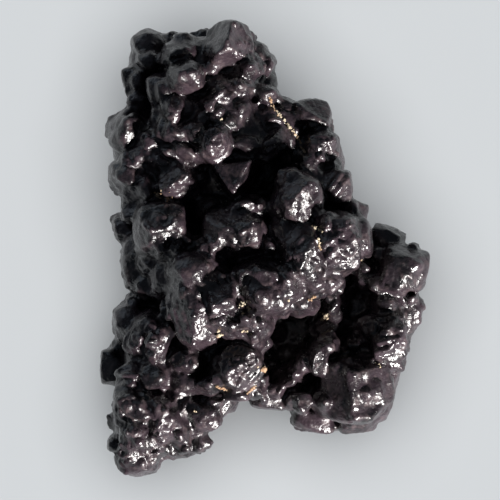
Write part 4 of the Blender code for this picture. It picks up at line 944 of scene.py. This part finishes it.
grains.data.materials.append(tanInfill())
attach(grains, "root")
print("grains", len(bits))

studio = {
    "floorSize": 2.4,
    "floorTint": (0.62, 0.64, 0.65, 1),
    "floorRough": 0.7,
    "aimHeight": 0.018,
    "keyFrom": (0.53, -0.66, 0.52),
    "keyAway": 0.6,
    "keySize": 0.08,
    "keyPower": 17.0,
    "keyTint": (1.0, 0.97, 0.94),
    "fillFrom": (-0.7, 0.75, 0.12),
    "fillAway": 0.6,
    "fillSize": 0.5,
    "fillPower": 0.5,
    "fillTint": (0.72, 0.84, 1.0),
    "topFrom": (0, 0, 1),
    "topAway": 1.2,
    "topSize": 1.4,
    "topPower": 19.0,
    "topTint": (1.0, 1.0, 1.0),
    "sky": (0.7, 0.82, 1.0, 1),
    "skyPower": 0.09,
}


def addLamp(name, onWhat):
    # onWhat is the collection that the lamp lights, and nothing else
    lamp = bpy.data.lights.new(name, "AREA")
    lamp.shape = "DISK"
    lamp.size = studio[name + "Size"]
    lamp.energy = studio[name + "Power"]
    lamp.color = studio[name + "Tint"]
    holder = bpy.data.objects.new(name, lamp)
    bpy.context.scene.collection.objects.link(holder)
    aim = Vector(studio[name + "From"]).normalized()
    holder.location = Vector((0, 0, studio["aimHeight"])) + aim * studio[name + "Away"]
    holder.rotation_euler = aim.to_track_quat("Z", "Y").to_euler()
    holder.light_linking.receiver_collection = onWhat


clearSelection()
bpy.ops.mesh.primitive_plane_add(size=studio["floorSize"])
table = bpy.context.object
table.name = "tableTop"
paint = bpy.data.materials.new("tablePaint")
paint.use_nodes = True
coat = paint.node_tree.nodes["Principled BSDF"]
coat.inputs["Base Color"].default_value = studio["floorTint"]
coat.inputs["Roughness"].default_value = studio["floorRough"]
table.data.materials.append(paint)
# The stone has a small hard lamp and a weak blue one, and the table top a wide soft one of its own
onStone = bpy.data.collections.new("onStone")
onTable = bpy.data.collections.new("onTable")
onStone.objects.link(skin)
onStone.objects.link(grains)
onTable.objects.link(table)
addLamp("key", onStone)
addLamp("fill", onStone)
addLamp("top", onTable)
world = bpy.data.worlds.new("sky")
bpy.context.scene.world = world
world.use_nodes = True
glow = world.node_tree.nodes["Background"]
glow.inputs["Color"].default_value = studio["sky"]
glow.inputs["Strength"].default_value = studio["skyPower"]

view = {
    "away": 0.6,            # from the camera to the plane that the outline lies in
    "plane": 0.018,
    "middle": (-0.0018, 0.0),
    "across": 0.07143,      # what the frame takes in at that plane
    "sensor": 36,
    "nearest": 0.01,        # what is nearer or further than these isn't drawn
    "furthest": 20,
}
lens = bpy.data.cameras.new("camera")
camera = bpy.data.objects.new("camera", lens)
bpy.context.scene.collection.objects.link(camera)
bpy.context.scene.camera = camera
lens.sensor_width = view["sensor"]
lens.lens = view["sensor"] * view["away"] / view["across"]
lens.clip_start = view["nearest"]
lens.clip_end = view["furthest"]
camera.location = (view["middle"][0], view["middle"][1], view["plane"] + view["away"])
bpy.context.scene.view_settings.view_transform = "Standard"
